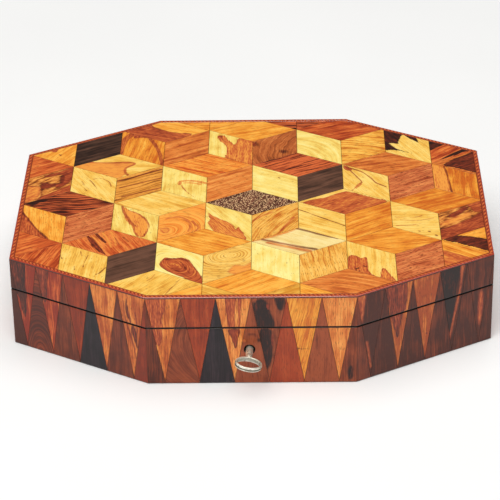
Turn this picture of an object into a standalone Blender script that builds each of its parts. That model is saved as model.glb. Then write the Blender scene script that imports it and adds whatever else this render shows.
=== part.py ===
"""Octagonal parquetry box with a hinged lid, a lock and its key.

The box stands on its underside, whose middle is at the origin, with +Z up and the
front, where the lock is, facing -Y. The lid is shut. All sizes are in metres.
"""
import math

import bmesh
import bpy
from mathutils import Matrix, Vector

# Outside of the box, over its veneers
WIDTH = 0.305
DEPTH = 0.241
HEIGHT = 0.0625
FRONT_EDGE = 0.1304  # length of the front and of the back
SIDE_EDGE = 0.142  # length of the left and of the right side
RIM_HEIGHT = 0.0402  # underside to the rim of the base

# Boards and veneers
WALL_BOARD = 0.0085
BOTTOM_BOARD = 0.005
TOP_BOARD = 0.005
SIDE_VENEER = 0.0012
TOP_VENEER = 0.0017
BANDING_WIDTH = 0.003
BANDING_ARRIS = 0.0006  # how far the banding's outer arris is rounded
GLUE_GAP = 0.0003  # between two pieces that touch
RIM_GAP = 0.0005  # between the shut lid and the base

# Patterns
RHOMBUS_SIDE = 0.03477  # of the tumbling blocks on the lid
TRIANGLE_PITCH = 0.0213  # of the long triangles round the sides, evened out on each side
TRIANGLE_FOOT = 0.0018  # underside to the lower points of the triangles
JOINT_WIDTH = 0.0003  # of the line between two tiles
JOINT_DEPTH = 0.0003

# Hinges, let into the rims of the back boards
HINGE_SPREAD = 0.080  # middle to middle
HINGE_LENGTH = 0.025
HINGE_KNUCKLES = 5
HINGE_INSET = 0.003  # back of the box to the pin
LEAF_DEPTH = 0.0055  # pin to the leaf's front edge
LEAF_THICKNESS = 0.001
KNUCKLE_RADIUS = 0.0022
PIN_RADIUS = 0.0008
PIN_CLEARANCE = 0.0002
LID_OPENING = math.radians(100)  # the bevelled back edges meet there and stop the lid
STOP_CLEARANCE = math.radians(3)

# Lock, let into the front board of the base, and its link plate in the lid
KEYHOLE_X = -0.0013
KEYHOLE_HEIGHT = 0.0247
KEYHOLE_RADIUS = 0.00325
KEYHOLE_SLOT = 0.0028  # width of the part below, for the bit
LOCK_WIDTH = 0.034
LOCK_HEIGHT = 0.025
LOCK_DEPTH = 0.005
LOCK_SHEET = 0.001  # front and back plate of the lock
SELVAGE_WIDTH = 0.042
SELVAGE_DEPTH = 0.006
SELVAGE_THICKNESS = 0.0012
STAPLE_SPREAD = 0.020
STAPLE_WIDTH = 0.003
STAPLE_DEPTH = 0.002
STAPLE_REACH = 0.005
STAPLE_EYE = 0.0016

# Key
SHANK_RADIUS = 0.0023
SHANK_PLAIN = 0.0065  # length outside the box before the neck
NECK_RADIUS = 0.00125
BOW_START = 0.0105  # front of the box to the bow
BOW_WIDTH = 0.0169
BOW_LENGTH = 0.0132
BOW_HEIGHT = 0.003
BOW_RIM = 0.0013
BIT_REACH = 0.0053  # key's axis to the bit's edge
BIT_HEIGHT = 0.002
KEY_ROLL = math.radians(10)  # the bow's right side hangs lower
KEY_YAW = math.radians(-2)

# Places that follow from the sizes
SIDES = ("front", "front_right", "right", "back_right", "back", "back_left", "left", "front_left")
FRONT_FACE = -DEPTH / 2
BACK_FACE = DEPTH / 2
CARCASE_INSET = SIDE_VENEER + GLUE_GAP
INNER_INSET = CARCASE_INSET + WALL_BOARD
LID_LOW = RIM_HEIGHT + RIM_GAP
TOP_VENEER_LOW = HEIGHT - TOP_VENEER
TOP_BOARD_HIGH = TOP_VENEER_LOW - GLUE_GAP
TOP_BOARD_LOW = TOP_BOARD_HIGH - TOP_BOARD
HINGE_Y = BACK_FACE - HINGE_INSET
HINGE_Z = RIM_HEIGHT + RIM_GAP / 2
HINGE_AXIS = Vector((0, HINGE_Y, HINGE_Z))
STOP_BEVEL = (LID_OPENING + STOP_CLEARANCE) / 2
INNER_FRONT = FRONT_FACE + INNER_INSET
LOCK_FRONT = INNER_FRONT - LOCK_DEPTH
CUT_REACH = 0.005  # how far a cutter runs past what it cuts

BOX = bpy.data.collections.new("parquetry_box")
CUTTERS = bpy.data.collections.new("cutters")


def start_scene():
    """Empty the scene and add one collection for the box and one for its cutters."""
    for old in list(bpy.data.objects):
        bpy.data.objects.remove(old)
    bpy.context.scene.collection.children.link(BOX)
    bpy.context.scene.collection.children.link(CUTTERS)


def finish_material(name, colour, roughness, metallic=0.0):
    """Return a plain Principled material."""
    material = bpy.data.materials.new(name)
    material.use_nodes = True
    shader = material.node_tree.nodes["Principled BSDF"]
    shader.inputs["Base Color"].default_value = (*colour, 1.0)
    shader.inputs["Roughness"].default_value = roughness
    shader.inputs["Metallic"].default_value = metallic
    return material


def empty_at(name, place):
    """Return an empty, on which pieces that move together hang."""
    empty = bpy.data.objects.new(name, None)
    empty.location = place
    BOX.objects.link(empty)
    return empty


def hang(piece, empty):
    """Parent a piece to an empty without moving it."""
    piece.parent = empty
    piece.matrix_parent_inverse = Matrix.Translation(-empty.location)


def piece_from(bm, name, place=Matrix(), material=None):
    """Turn a bmesh into a named object, among the box's pieces if it has a material."""
    bmesh.ops.recalc_face_normals(bm, faces=bm.faces[:])
    mesh = bpy.data.meshes.new(name)
    bm.to_mesh(mesh)
    bm.free()
    piece = bpy.data.objects.new(name, mesh)
    piece.matrix_basis = place
    if material is None:
        CUTTERS.objects.link(piece)
        piece.hide_render = True
        piece.display_type = "WIRE"
    else:
        BOX.objects.link(piece)
        mesh.materials.append(material)
    return piece


def block(name, low, high, material=None):
    """Return a box between two corners."""
    low, high = Vector(low), Vector(high)
    bm = bmesh.new()
    bmesh.ops.create_cube(bm, size=1, matrix=Matrix.Diagonal((*(high - low), 1)))
    return piece_from(bm, name, Matrix.Translation((low + high) / 2), material)


def rod(name, middle, axis, radius, length, material=None, segments=24):
    """Return a cylinder whose middle and axis are given."""
    turn = Vector((0, 0, 1)).rotation_difference(Vector(axis)).to_matrix().to_4x4()
    bm = bmesh.new()
    bmesh.ops.create_cone(
        bm, cap_ends=True, segments=segments, radius1=radius, radius2=radius, depth=length
    )
    return piece_from(bm, name, Matrix.Translation(middle) @ turn, material)


def plate(name, outlines, low, high, material=None):
    """Return a flat plate between two heights, from its outline and the outlines of its holes."""
    curve = bpy.data.curves.new(name, "CURVE")
    curve.dimensions = "2D"
    curve.fill_mode = "BOTH"
    curve.extrude = (high - low) / 2
    for outline in outlines:
        spline = curve.splines.new("POLY")
        spline.points.add(len(outline) - 1)
        for point, place in zip(spline.points, outline):
            point.co = (place[0], place[1], 0, 1)
        spline.use_cyclic_u = True
    guide = bpy.data.objects.new(name + "_outline", curve)
    CUTTERS.objects.link(guide)
    bpy.context.view_layer.update()
    evaluated = guide.evaluated_get(bpy.context.evaluated_depsgraph_get())
    mesh = bpy.data.meshes.new_from_object(evaluated)
    bm = bmesh.new()
    bm.from_mesh(mesh)
    bmesh.ops.remove_doubles(bm, verts=bm.verts[:], dist=0.00001)
    bpy.data.objects.remove(guide)
    bpy.data.meshes.remove(mesh)
    return piece_from(bm, name, Matrix.Translation((0, 0, (low + high) / 2)), material)


def shape_with(piece, other, operation):
    """Cut another object out of a piece, or join it on."""
    modifier = piece.modifiers.new(other.name, "BOOLEAN")
    modifier.operation = operation
    modifier.object = other
    modifier.solver = "EXACT"


def trim(piece, point, normal):
    """Cut away what lies beyond a plane, and close the cut."""
    to_piece = piece.matrix_basis.inverted()
    bm = bmesh.new()
    bm.from_mesh(piece.data)
    cut = bmesh.ops.bisect_plane(
        bm,
        geom=bm.verts[:] + bm.edges[:] + bm.faces[:],
        dist=0.000001,
        plane_co=to_piece @ Vector(point),
        plane_no=to_piece.to_3x3() @ Vector(normal),
        clear_outer=True,
    )
    rim = [part for part in cut["geom_cut"] if isinstance(part, bmesh.types.BMEdge)]
    if rim:
        bmesh.ops.edgeloop_fill(bm, edges=rim)
    bmesh.ops.recalc_face_normals(bm, faces=bm.faces[:])
    bm.to_mesh(piece.data)
    bm.free()


def octagon(inset):
    """Return the box's eight corners in plan, anticlockwise from the front's left end.

    Each side is moved in by the inset, so that a corner moves along its mitre.
    """
    half_front, half_side = FRONT_EDGE / 2, SIDE_EDGE / 2
    quarter = [(half_front, -DEPTH / 2), (WIDTH / 2, -half_side)]
    right = [Vector(corner) for corner in quarter]
    right += [Vector((corner.x, -corner.y)) for corner in reversed(right)]
    left = [Vector((-corner.x, -corner.y)) for corner in right]
    corners = [left[-1], *right, *left[:-1]]
    moved = []
    for index, corner in enumerate(corners):
        before = (corner - corners[index - 1]).normalized()
        after = (corners[(index + 1) % len(corners)] - corner).normalized()
        inward = Vector((-before.y, before.x)) + Vector((-after.y, after.x))
        moved.append(corner + inward * inset / (1 + before.dot(after)))
    return moved


def side_ends(index, inset):
    """Return a side's two ends in plan, drawn back by half a gap at each mitre."""
    corners = octagon(inset)
    start, end = corners[index], corners[(index + 1) % len(corners)]
    back = (end - start).normalized() * GLUE_GAP / 2
    return start + back, end - back


def wall_board(name, index, low, high, material):
    """Return the mitred board of one side."""
    outer = side_ends(index, CARCASE_INSET)
    inner = side_ends(index, INNER_INSET)
    return plate(name, [[*outer, *reversed(inner)]], low, high, material)


def bevel_back_edge(piece, upward):
    """Bevel a rim behind the hinge pins, so that the lid can lean back."""
    slope = math.sin(STOP_BEVEL), math.cos(STOP_BEVEL)
    sign = 1 if upward else -1
    trim(piece, HINGE_AXIS, (0, slope[0], -sign * slope[1]))


def lay_tiles(bm):
    """Turn a flat sheet of tiles into one veneer with a sunk joint round each tile.

    A tile too thin to take the joint stays down at the joint's level.
    """
    wide = [
        face
        for face in bm.faces
        if 2 * face.calc_area() / face.calc_perimeter() > 2 * JOINT_WIDTH
    ]
    bmesh.ops.inset_individual(
        bm, faces=wide, thickness=JOINT_WIDTH / 2, depth=JOINT_DEPTH, use_even_offset=True
    )


def back_up(bm, depth):
    """Give a sheet its thickness below, and return the points of its lower face."""
    rim = [edge for edge in bm.edges if edge.is_boundary]
    lowered = bmesh.ops.extrude_edge_only(bm, edges=rim)["geom"]
    points = [part for part in lowered if isinstance(part, bmesh.types.BMVert)]
    for point in points:
        point.co.z -= depth
    ring = [edge for edge in bm.edges if edge.is_boundary]
    bmesh.ops.edgeloop_fill(bm, edges=ring)
    return points


def split_sheet(bm, faces, point, normal, keep_all=True):
    """Divide the given faces of a sheet along a line, or drop what lies beyond it."""
    parts = set(faces)
    for face in faces:
        parts.update(face.edges)
        parts.update(face.verts)
    bmesh.ops.bisect_plane(
        bm,
        geom=list(parts),
        dist=0.000001,
        plane_co=point,
        plane_no=normal,
        clear_outer=not keep_all,
    )


def triangle_sheet(length, top):
    """Return a flat sheet, X along a side and Y up, divided into long triangles.

    Triangles that hang from the top edge end in a point at the foot height. Between
    them stand their opposites, whose points reach the top edge.
    """
    count = max(1, round(length / TRIANGLE_PITCH))
    pitch = length / count
    foot = TRIANGLE_FOOT
    bm = bmesh.new()
    size = Matrix.Translation((length / 2, top / 2, 0)) @ Matrix.Diagonal((length, top, 1, 1))
    bmesh.ops.create_grid(bm, x_segments=1, y_segments=1, size=0.5, matrix=size)
    split_sheet(bm, bm.faces[:], (0, foot, 0), (0, 1, 0))
    for half_step in range(2 * count):
        start_x = half_step * pitch / 2
        falling = half_step % 2 == 0
        start_y, rise = (top, foot - top) if falling else (foot, top - foot)
        upper = [face for face in bm.faces if face.calc_center_median().y > foot]
        split_sheet(bm, upper, (start_x, start_y, 0), (-rise, pitch / 2, 0))
        if not falling:
            lower = [face for face in bm.faces if face.calc_center_median().y < foot]
            split_sheet(bm, lower, (start_x, 0, 0), (1, 0, 0))
    level = [
        edge
        for edge in bm.edges
        if not edge.is_boundary and all(abs(v.co.y - foot) < 0.000001 for v in edge.verts)
    ]
    bmesh.ops.dissolve_edges(bm, edges=level, use_verts=False)
    return bm


def side_veneer(name, index, low, high, material):
    """Return the triangle veneers of one side between two heights, mitred at its ends."""
    start, end = side_ends(index, JOINT_DEPTH)
    back_start, back_end = side_ends(index, SIDE_VENEER)
    along = (end - start).normalized()
    length = (end - start).length
    bm = triangle_sheet(length, TOP_BOARD_HIGH)
    split_sheet(bm, bm.faces[:], (0, low, 0), (0, -1, 0), keep_all=False)
    split_sheet(bm, bm.faces[:], (0, high, 0), (0, 1, 0), keep_all=False)
    lay_tiles(bm)
    mitre = (back_start - start).dot(along)
    back_length = (back_end - back_start).length
    for point in back_up(bm, SIDE_VENEER - JOINT_DEPTH):
        point.co.x = mitre + point.co.x * back_length / length
    turn = Matrix.Rotation(math.atan2(along.y, along.x), 4, "Z")
    upright = Matrix.Rotation(math.pi / 2, 4, "X")
    place = Matrix.Translation((start.x, start.y, 0)) @ turn @ upright
    return piece_from(bm, name, place, material)


def tumbling_blocks():
    """Return a flat sheet of rhombi, three to a cube, cut to the inside of the banding.

    One cube's upper rhombus lies at the middle of the lid. Cubes stand a rhombus's
    long diagonal apart along X, and one and a half sides apart along Y.
    """
    side = RHOMBUS_SIDE
    long_half, short_half = side * math.sqrt(3) / 2, side / 2
    rhombi = ((0, 0, 0), (-60, -1, -1.5), (60, 1, -1.5))
    rows = math.ceil(DEPTH / (3 * side)) + 1
    columns = math.ceil(WIDTH / (4 * long_half)) + 1
    bm = bmesh.new()
    for row in range(-rows, rows + 1):
        for column in range(-columns, columns + 1):
            centre = Vector(((2 * column + row % 2) * long_half, 1.5 * side * row, 0))
            for angle, across, down in rhombi:
                offset = Vector((across * long_half / 2, down * side / 2, 0))
                place = Matrix.Translation(centre + offset)
                turn = Matrix.Rotation(math.radians(angle), 4, "Z")
                stretch = Matrix.Diagonal((long_half, short_half, 1, 1))
                bmesh.ops.create_circle(
                    bm, cap_ends=True, segments=4, radius=1, matrix=place @ turn @ stretch
                )
    bmesh.ops.remove_doubles(bm, verts=bm.verts[:], dist=0.00002)
    corners = octagon(BANDING_WIDTH + GLUE_GAP)
    for index, corner in enumerate(corners):
        along = corners[(index + 1) % len(corners)] - corner
        outward = (along.y, -along.x, 0)
        split_sheet(bm, bm.faces[:], (*corner, 0), outward, keep_all=False)
    return bm


def lid_parquetry(material):
    """Return the lid's tumbling blocks as one veneer."""
    bm = tumbling_blocks()
    bmesh.ops.recalc_face_normals(bm, faces=bm.faces[:])
    if bm.faces[:][0].normal.z < 0:
        bmesh.ops.reverse_faces(bm, faces=bm.faces[:])
    lay_tiles(bm)
    back_up(bm, TOP_VENEER - JOINT_DEPTH)
    place = Matrix.Translation((0, 0, HEIGHT - JOINT_DEPTH))
    return piece_from(bm, "lid_parquetry", place, material)


def lid_banding(material):
    """Return the band round the lid's top, with its outer arris rounded."""
    outlines = [octagon(0), octagon(BANDING_WIDTH)]
    banding = plate("lid_banding", outlines, TOP_VENEER_LOW, HEIGHT, material)
    bm = bmesh.new()
    bm.from_mesh(banding.data)
    half = TOP_VENEER / 2
    outer = []
    for edge in bm.edges:
        high = all(vert.co.z > half * 0.9 for vert in edge.verts)
        walls = [face for face in edge.link_faces if abs(face.normal.z) < 0.5]
        if high and walls and walls[0].normal.dot(walls[0].calc_center_median()) > 0:
            outer.append(edge)
    bmesh.ops.bevel(
        bm, geom=outer, offset=BANDING_ARRIS, segments=2, profile=0.5, affect="EDGES"
    )
    bm.to_mesh(banding.data)
    bm.free()
    return banding


def hinge(name, x, brass):
    """Return a butt hinge's two leaves and its pin.

    The base leaf has the odd knuckles and the lid leaf the even ones. Each leaf is
    cut back round the other's knuckles.
    """
    pitch = HINGE_LENGTH / HINGE_KNUCKLES
    axis = Vector((x, HINGE_Y, HINGE_Z))
    half = HINGE_LENGTH / 2
    heights = {
        "base": (RIM_HEIGHT - LEAF_THICKNESS, RIM_HEIGHT),
        "lid": (LID_LOW, LID_LOW + LEAF_THICKNESS),
    }
    bore_radius = PIN_RADIUS + PIN_CLEARANCE
    bore = rod(name + "_bore", axis, (1, 0, 0), bore_radius, HINGE_LENGTH + CUT_REACH, segments=16)
    leaves = []
    for order, (part, (low, high)) in enumerate(heights.items()):
        leaf_name = f"{name}_{part}_leaf"
        leaf = block(
            leaf_name, (x - half, HINGE_Y - LEAF_DEPTH, low), (x + half, HINGE_Y, high), brass
        )
        for number in range(HINGE_KNUCKLES):
            middle = axis + Vector((-half + (number + 0.5) * pitch, 0, 0))
            label = f"{leaf_name}_{number}"
            if number % 2 == order:
                knuckle_length = pitch - GLUE_GAP
                knuckle = rod(
                    label, middle, (1, 0, 0), KNUCKLE_RADIUS, knuckle_length, segments=16
                )
                shape_with(leaf, knuckle, "UNION")
            else:
                radius = KNUCKLE_RADIUS + GLUE_GAP
                relief = rod(
                    label, middle, (1, 0, 0), radius, pitch + GLUE_GAP, segments=16
                )
                shape_with(leaf, relief, "DIFFERENCE")
        shape_with(leaf, bore, "DIFFERENCE")
        leaves.append(leaf)
    pin = rod(name + "_pin", axis, (1, 0, 0), PIN_RADIUS, HINGE_LENGTH, brass, segments=12)
    return *leaves, pin


def let_in_hinge(wall, x, low, high):
    """Cut a hinge leaf's recess, and room for the knuckles, into a back board."""
    half = HINGE_LENGTH / 2 + GLUE_GAP
    front = HINGE_Y - LEAF_DEPTH - GLUE_GAP
    label = f"{wall.name}_recess_{'right' if x > 0 else 'left'}"
    recess = block(label, (x - half, front, low), (x + half, HINGE_Y, high))
    shape_with(wall, recess, "DIFFERENCE")
    axis = Vector((x, HINGE_Y, HINGE_Z))
    radius = KNUCKLE_RADIUS + GLUE_GAP
    room = rod(label + "_knuckles", axis, (1, 0, 0), radius, 2 * half, segments=16)
    shape_with(wall, room, "DIFFERENCE")


def keyhole_cutters(label, radius, slot, drop, front, back):
    """Return the round hole and the slot below it that make a keyhole."""
    middle = Vector((KEYHOLE_X, (front + back) / 2, KEYHOLE_HEIGHT))
    hole = rod(label + "_hole", middle, (0, 1, 0), radius, back - front)
    low = (KEYHOLE_X - slot / 2, front, KEYHOLE_HEIGHT - drop)
    high = (KEYHOLE_X + slot / 2, back, KEYHOLE_HEIGHT)
    return hole, block(label + "_slot", low, high)


def lock(brass):
    """Return the lock: a case with room for the bit, and the selvage on the rim."""
    x = KEYHOLE_X
    low = RIM_HEIGHT - LOCK_HEIGHT
    case = block(
        "lock",
        (x - LOCK_WIDTH / 2, LOCK_FRONT, low),
        (x + LOCK_WIDTH / 2, INNER_FRONT, RIM_HEIGHT - SELVAGE_THICKNESS / 2),
        brass,
    )
    selvage = block(
        "lock_selvage",
        (x - SELVAGE_WIDTH / 2, INNER_FRONT - SELVAGE_DEPTH, RIM_HEIGHT - SELVAGE_THICKNESS),
        (x + SELVAGE_WIDTH / 2, INNER_FRONT, RIM_HEIGHT),
    )
    shape_with(case, selvage, "UNION")
    room_radius = BIT_REACH + 2 * GLUE_GAP
    room_depth = LOCK_DEPTH - 2 * LOCK_SHEET
    middle = Vector((x, (LOCK_FRONT + INNER_FRONT) / 2, KEYHOLE_HEIGHT))
    room = rod("lock_room", middle, (0, 1, 0), room_radius, room_depth)
    shape_with(case, room, "DIFFERENCE")
    radius = SHANK_RADIUS + 2 * GLUE_GAP
    front, back = LOCK_FRONT - CUT_REACH, LOCK_FRONT + LOCK_SHEET + room_depth / 2
    for cutter in keyhole_cutters("lock_keyhole", radius, KEYHOLE_SLOT, BIT_REACH, front, back):
        shape_with(case, cutter, "DIFFERENCE")
    for number, middle in enumerate(staple_middles()):
        reach = Vector((STAPLE_WIDTH / 2 + GLUE_GAP, STAPLE_DEPTH / 2 + GLUE_GAP, 0))
        bottom = Vector((0, 0, RIM_HEIGHT - STAPLE_REACH - 2 * GLUE_GAP))
        top = Vector((0, 0, RIM_HEIGHT + CUT_REACH))
        slot = block(f"lock_slot_{number}", middle - reach + bottom, middle + reach + top)
        shape_with(case, slot, "DIFFERENCE")
    return case


def staple_middles():
    """Return the plan places of the link plate's two staples."""
    y = INNER_FRONT - SELVAGE_DEPTH / 2
    return [Vector((KEYHOLE_X + sign * STAPLE_SPREAD / 2, y, 0)) for sign in (-1, 1)]


def link_plate(brass):
    """Return the lid's plate, whose two staples drop into the lock."""
    x = KEYHOLE_X
    link = block(
        "lock_link_plate",
        (x - SELVAGE_WIDTH / 2, INNER_FRONT - SELVAGE_DEPTH, LID_LOW),
        (x + SELVAGE_WIDTH / 2, INNER_FRONT, LID_LOW + SELVAGE_THICKNESS),
        brass,
    )
    for number, middle in enumerate(staple_middles()):
        reach = Vector((STAPLE_WIDTH / 2, STAPLE_DEPTH / 2, 0))
        tip = Vector((0, 0, RIM_HEIGHT - STAPLE_REACH))
        root = Vector((0, 0, LID_LOW + SELVAGE_THICKNESS / 2))
        staple = block(f"staple_{number}", middle - reach + tip, middle + reach + root)
        shape_with(link, staple, "UNION")
        eye_middle = middle + tip + Vector((0, 0, STAPLE_EYE))
        eye_half = Vector((STAPLE_EYE / 2, STAPLE_DEPTH, STAPLE_EYE / 2))
        eye = block(f"staple_eye_{number}", eye_middle - eye_half, eye_middle + eye_half)
        shape_with(link, eye, "DIFFERENCE")
    return link


def oval(width, length, centre_y, points=32):
    """Return points round an ellipse in plan."""
    angles = [2 * math.pi * step / points for step in range(points)]
    return [
        (width / 2 * math.cos(angle), centre_y + length / 2 * math.sin(angle))
        for angle in angles
    ]


def key(steel):
    """Return the key, with its bit turned inside the lock.

    It is drawn with its axis along -Y from the keyhole, the bow flat and the bit to
    the right, and then rolled and swung a little in the keyhole.
    """
    bit_start = LOCK_FRONT + LOCK_SHEET + GLUE_GAP - FRONT_FACE
    bit_end = INNER_FRONT - LOCK_SHEET - 2 * GLUE_GAP - FRONT_FACE
    root = -(BOW_START + BOW_RIM / 2)
    profile = [
        (0, bit_end),
        (SHANK_RADIUS, bit_end),
        (SHANK_RADIUS, -SHANK_PLAIN),
        (NECK_RADIUS, -BOW_START),
        (NECK_RADIUS, root),
        (0, root),
    ]
    bm = bmesh.new()
    points = [bm.verts.new((radius, y, 0)) for radius, y in profile]
    edges = [bm.edges.new(pair) for pair in zip(points, points[1:])]
    steps = 20
    bmesh.ops.spin(
        bm, geom=points + edges, axis=(0, 1, 0), cent=(0, 0, 0), angle=2 * math.pi, steps=steps
    )
    bmesh.ops.remove_doubles(bm, verts=bm.verts[:], dist=0.00001)
    place = Matrix.Translation((KEYHOLE_X, FRONT_FACE, KEYHOLE_HEIGHT))
    place = place @ Matrix.Rotation(KEY_YAW, 4, "Z") @ Matrix.Rotation(KEY_ROLL, 4, "Y")
    shank = piece_from(bm, "key", place, steel)
    bow_middle = -(BOW_START + BOW_LENGTH / 2)
    outlines = [
        oval(BOW_WIDTH, BOW_LENGTH, bow_middle),
        oval(BOW_WIDTH - 2 * BOW_RIM, BOW_LENGTH - 2 * BOW_RIM, bow_middle),
    ]
    bow = plate("key_bow", outlines, -BOW_HEIGHT / 2, BOW_HEIGHT / 2)
    half = BIT_HEIGHT / 2
    bit = block("key_bit", (0, bit_start, -half), (BIT_REACH, bit_end - GLUE_GAP, half))
    for part in (bow, bit):
        part.matrix_basis = place @ part.matrix_basis
        shape_with(shank, part, "UNION")
    return shank


def let_in_selvage(wall, low, high):
    """Cut the recess of the lock's selvage, or of the link plate, into a front board."""
    half = SELVAGE_WIDTH / 2 + GLUE_GAP
    front = INNER_FRONT - SELVAGE_DEPTH - GLUE_GAP
    recess = block(
        wall.name + "_selvage_room",
        (KEYHOLE_X - half, front, low),
        (KEYHOLE_X + half, INNER_FRONT + CUT_REACH, high),
    )
    shape_with(wall, recess, "DIFFERENCE")


def let_in_lock(wall):
    """Cut room for the lock's case and its selvage into the base's front board."""
    half = LOCK_WIDTH / 2 + GLUE_GAP
    top = RIM_HEIGHT + CUT_REACH
    room = block(
        "lock_case_room",
        (KEYHOLE_X - half, LOCK_FRONT - GLUE_GAP, RIM_HEIGHT - LOCK_HEIGHT - GLUE_GAP),
        (KEYHOLE_X + half, INNER_FRONT + CUT_REACH, top),
    )
    shape_with(wall, room, "DIFFERENCE")
    let_in_selvage(wall, RIM_HEIGHT - SELVAGE_THICKNESS - GLUE_GAP, top)


def base_pieces(carcase, veneer, brass, steel):
    """Build what stays on the table, all hung on one empty."""
    stand = empty_at("base", (0, 0, 0))
    pieces = [plate("base_bottom", [octagon(CARCASE_INSET)], 0, BOTTOM_BOARD, carcase)]
    walls, veneers = {}, {}
    for index, side in enumerate(SIDES):
        low = BOTTOM_BOARD + GLUE_GAP
        walls[side] = wall_board(f"base_wall_{side}", index, low, RIM_HEIGHT, carcase)
        veneers[side] = side_veneer(f"base_veneer_{side}", index, GLUE_GAP, RIM_HEIGHT, veneer)
        if "back" in side:
            bevel_back_edge(walls[side], upward=False)
            bevel_back_edge(veneers[side], upward=False)
    for x in (-HINGE_SPREAD / 2, HINGE_SPREAD / 2):
        recess_low = RIM_HEIGHT - LEAF_THICKNESS - GLUE_GAP
        let_in_hinge(walls["back"], x, recess_low, RIM_HEIGHT + CUT_REACH)
    front, back = FRONT_FACE - CUT_REACH, INNER_FRONT
    drop = BIT_REACH + 3 * GLUE_GAP
    cutters = keyhole_cutters("keyhole", KEYHOLE_RADIUS, KEYHOLE_SLOT, drop, front, back)
    for cutter in cutters:
        shape_with(veneers["front"], cutter, "DIFFERENCE")
        shape_with(walls["front"], cutter, "DIFFERENCE")
    let_in_lock(walls["front"])
    pieces += [*walls.values(), *veneers.values(), lock(brass), key(steel)]
    return stand, pieces


def lid_pieces(carcase, veneer, parquetry, banding, brass):
    """Build what lifts, all hung on an empty on the hinges' axis."""
    stand = empty_at("lid", HINGE_AXIS)
    top = plate("lid_board", [octagon(CARCASE_INSET)], TOP_BOARD_LOW, TOP_BOARD_HIGH, carcase)
    walls, veneers = {}, {}
    for index, side in enumerate(SIDES):
        high = TOP_BOARD_LOW - GLUE_GAP
        walls[side] = wall_board(f"lid_wall_{side}", index, LID_LOW, high, carcase)
        veneers[side] = side_veneer(
            f"lid_veneer_{side}", index, LID_LOW, TOP_BOARD_HIGH, veneer
        )
        if "back" in side:
            bevel_back_edge(walls[side], upward=True)
            bevel_back_edge(veneers[side], upward=True)
    for x in (-HINGE_SPREAD / 2, HINGE_SPREAD / 2):
        recess_high = LID_LOW + LEAF_THICKNESS + GLUE_GAP
        let_in_hinge(walls["back"], x, LID_LOW - CUT_REACH, recess_high)
    let_in_selvage(walls["front"], LID_LOW - CUT_REACH, LID_LOW + SELVAGE_THICKNESS + GLUE_GAP)
    pieces = [top, *walls.values(), *veneers.values()]
    pieces += [lid_parquetry(parquetry), lid_banding(banding), link_plate(brass)]
    return stand, pieces


def main():
    """Build the box."""
    start_scene()
    carcase = finish_material("mahogany board", (0.235, 0.085, 0.03), 0.5)
    veneer = finish_material("polished rosewood veneer", (0.3, 0.07, 0.028), 0.25)
    parquetry = finish_material("polished mixed veneer", (0.62, 0.29, 0.06), 0.25)
    banding = finish_material("padauk banding", (0.47, 0.09, 0.025), 0.25)
    brass = finish_material("brass", (0.58, 0.4, 0.14), 0.35, metallic=1.0)
    steel = finish_material("polished steel", (0.62, 0.6, 0.54), 0.25, metallic=1.0)
    base, base_parts = base_pieces(carcase, veneer, brass, steel)
    lid, lid_parts = lid_pieces(carcase, veneer, parquetry, banding, brass)
    for name, x in (("hinge_left", -HINGE_SPREAD / 2), ("hinge_right", HINGE_SPREAD / 2)):
        base_leaf, lid_leaf, pin = hinge(name, x, brass)
        base_parts += [base_leaf, pin]
        lid_parts.append(lid_leaf)
    for piece in base_parts:
        hang(piece, base)
    for piece in lid_parts:
        hang(piece, lid)


main()
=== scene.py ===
"""Looks of the parquetry box: an eight-sided box with a lid of tumbling blocks.

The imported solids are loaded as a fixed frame. The veneers on the lid and the sides, the
rope banding, the key and the screws are laid as new meshes over that frame, and every
board and fitting that stays gets its finish. Lengths are metres unless a name or a
comment says millimetres.
"""

import logging
import math
from dataclasses import dataclass, field
from enum import Enum

import bpy
import numpy as np
from mathutils import Matrix, Vector


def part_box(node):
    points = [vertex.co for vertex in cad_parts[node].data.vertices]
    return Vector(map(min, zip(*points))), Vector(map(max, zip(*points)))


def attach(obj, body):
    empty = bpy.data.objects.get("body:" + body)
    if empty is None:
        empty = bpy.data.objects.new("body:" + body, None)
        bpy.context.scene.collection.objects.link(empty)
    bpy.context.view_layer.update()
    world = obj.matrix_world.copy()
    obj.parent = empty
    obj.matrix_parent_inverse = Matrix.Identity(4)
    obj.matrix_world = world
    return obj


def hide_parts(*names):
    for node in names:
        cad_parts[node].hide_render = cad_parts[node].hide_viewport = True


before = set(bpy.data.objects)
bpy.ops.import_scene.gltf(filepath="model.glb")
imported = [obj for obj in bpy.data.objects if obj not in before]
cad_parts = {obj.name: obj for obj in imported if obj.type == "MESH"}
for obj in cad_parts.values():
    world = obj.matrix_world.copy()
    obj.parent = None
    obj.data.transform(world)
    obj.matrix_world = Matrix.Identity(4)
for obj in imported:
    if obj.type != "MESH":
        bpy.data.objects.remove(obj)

log = logging.getLogger("parquetry_box")

Array = np.ndarray
Faces = list[tuple[Array, int, bool]]
Socket = bpy.types.NodeSocket
Material = bpy.types.Material
Piece = bpy.types.Object

MM = 0.001
FAR = 30.0  # millimetres, further than any figure reaches in a tile
LOG_MM = 400.0  # a sheet is cut from anywhere this far from the middle of its log
NOISE_SPREAD = 0.1  # the standard deviation of Blender's noise, about its middle of 0.5
CLOSE = 0.02 * MM  # corners nearer than this are one
HOLE_STEPS = 120  # round the keyhole
TINY, SAME = 1e-9, 1e-12  # keep a division by nothing away

# A Mix node keeps its colour sockets behind those for numbers and vectors.
MIX_FACTOR, MIX_A, MIX_B, MIX_COLOUR = 0, 6, 7, 2

# Heartwood, from nearly black to amber; a figure's tone is a place on this scale.
HEARTWOOD = ((0.0, "24100c"), (0.25, "5a2212"), (0.5, "963a20"), (0.75, "cc6432"), (1.0, "f2a044"))


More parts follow.
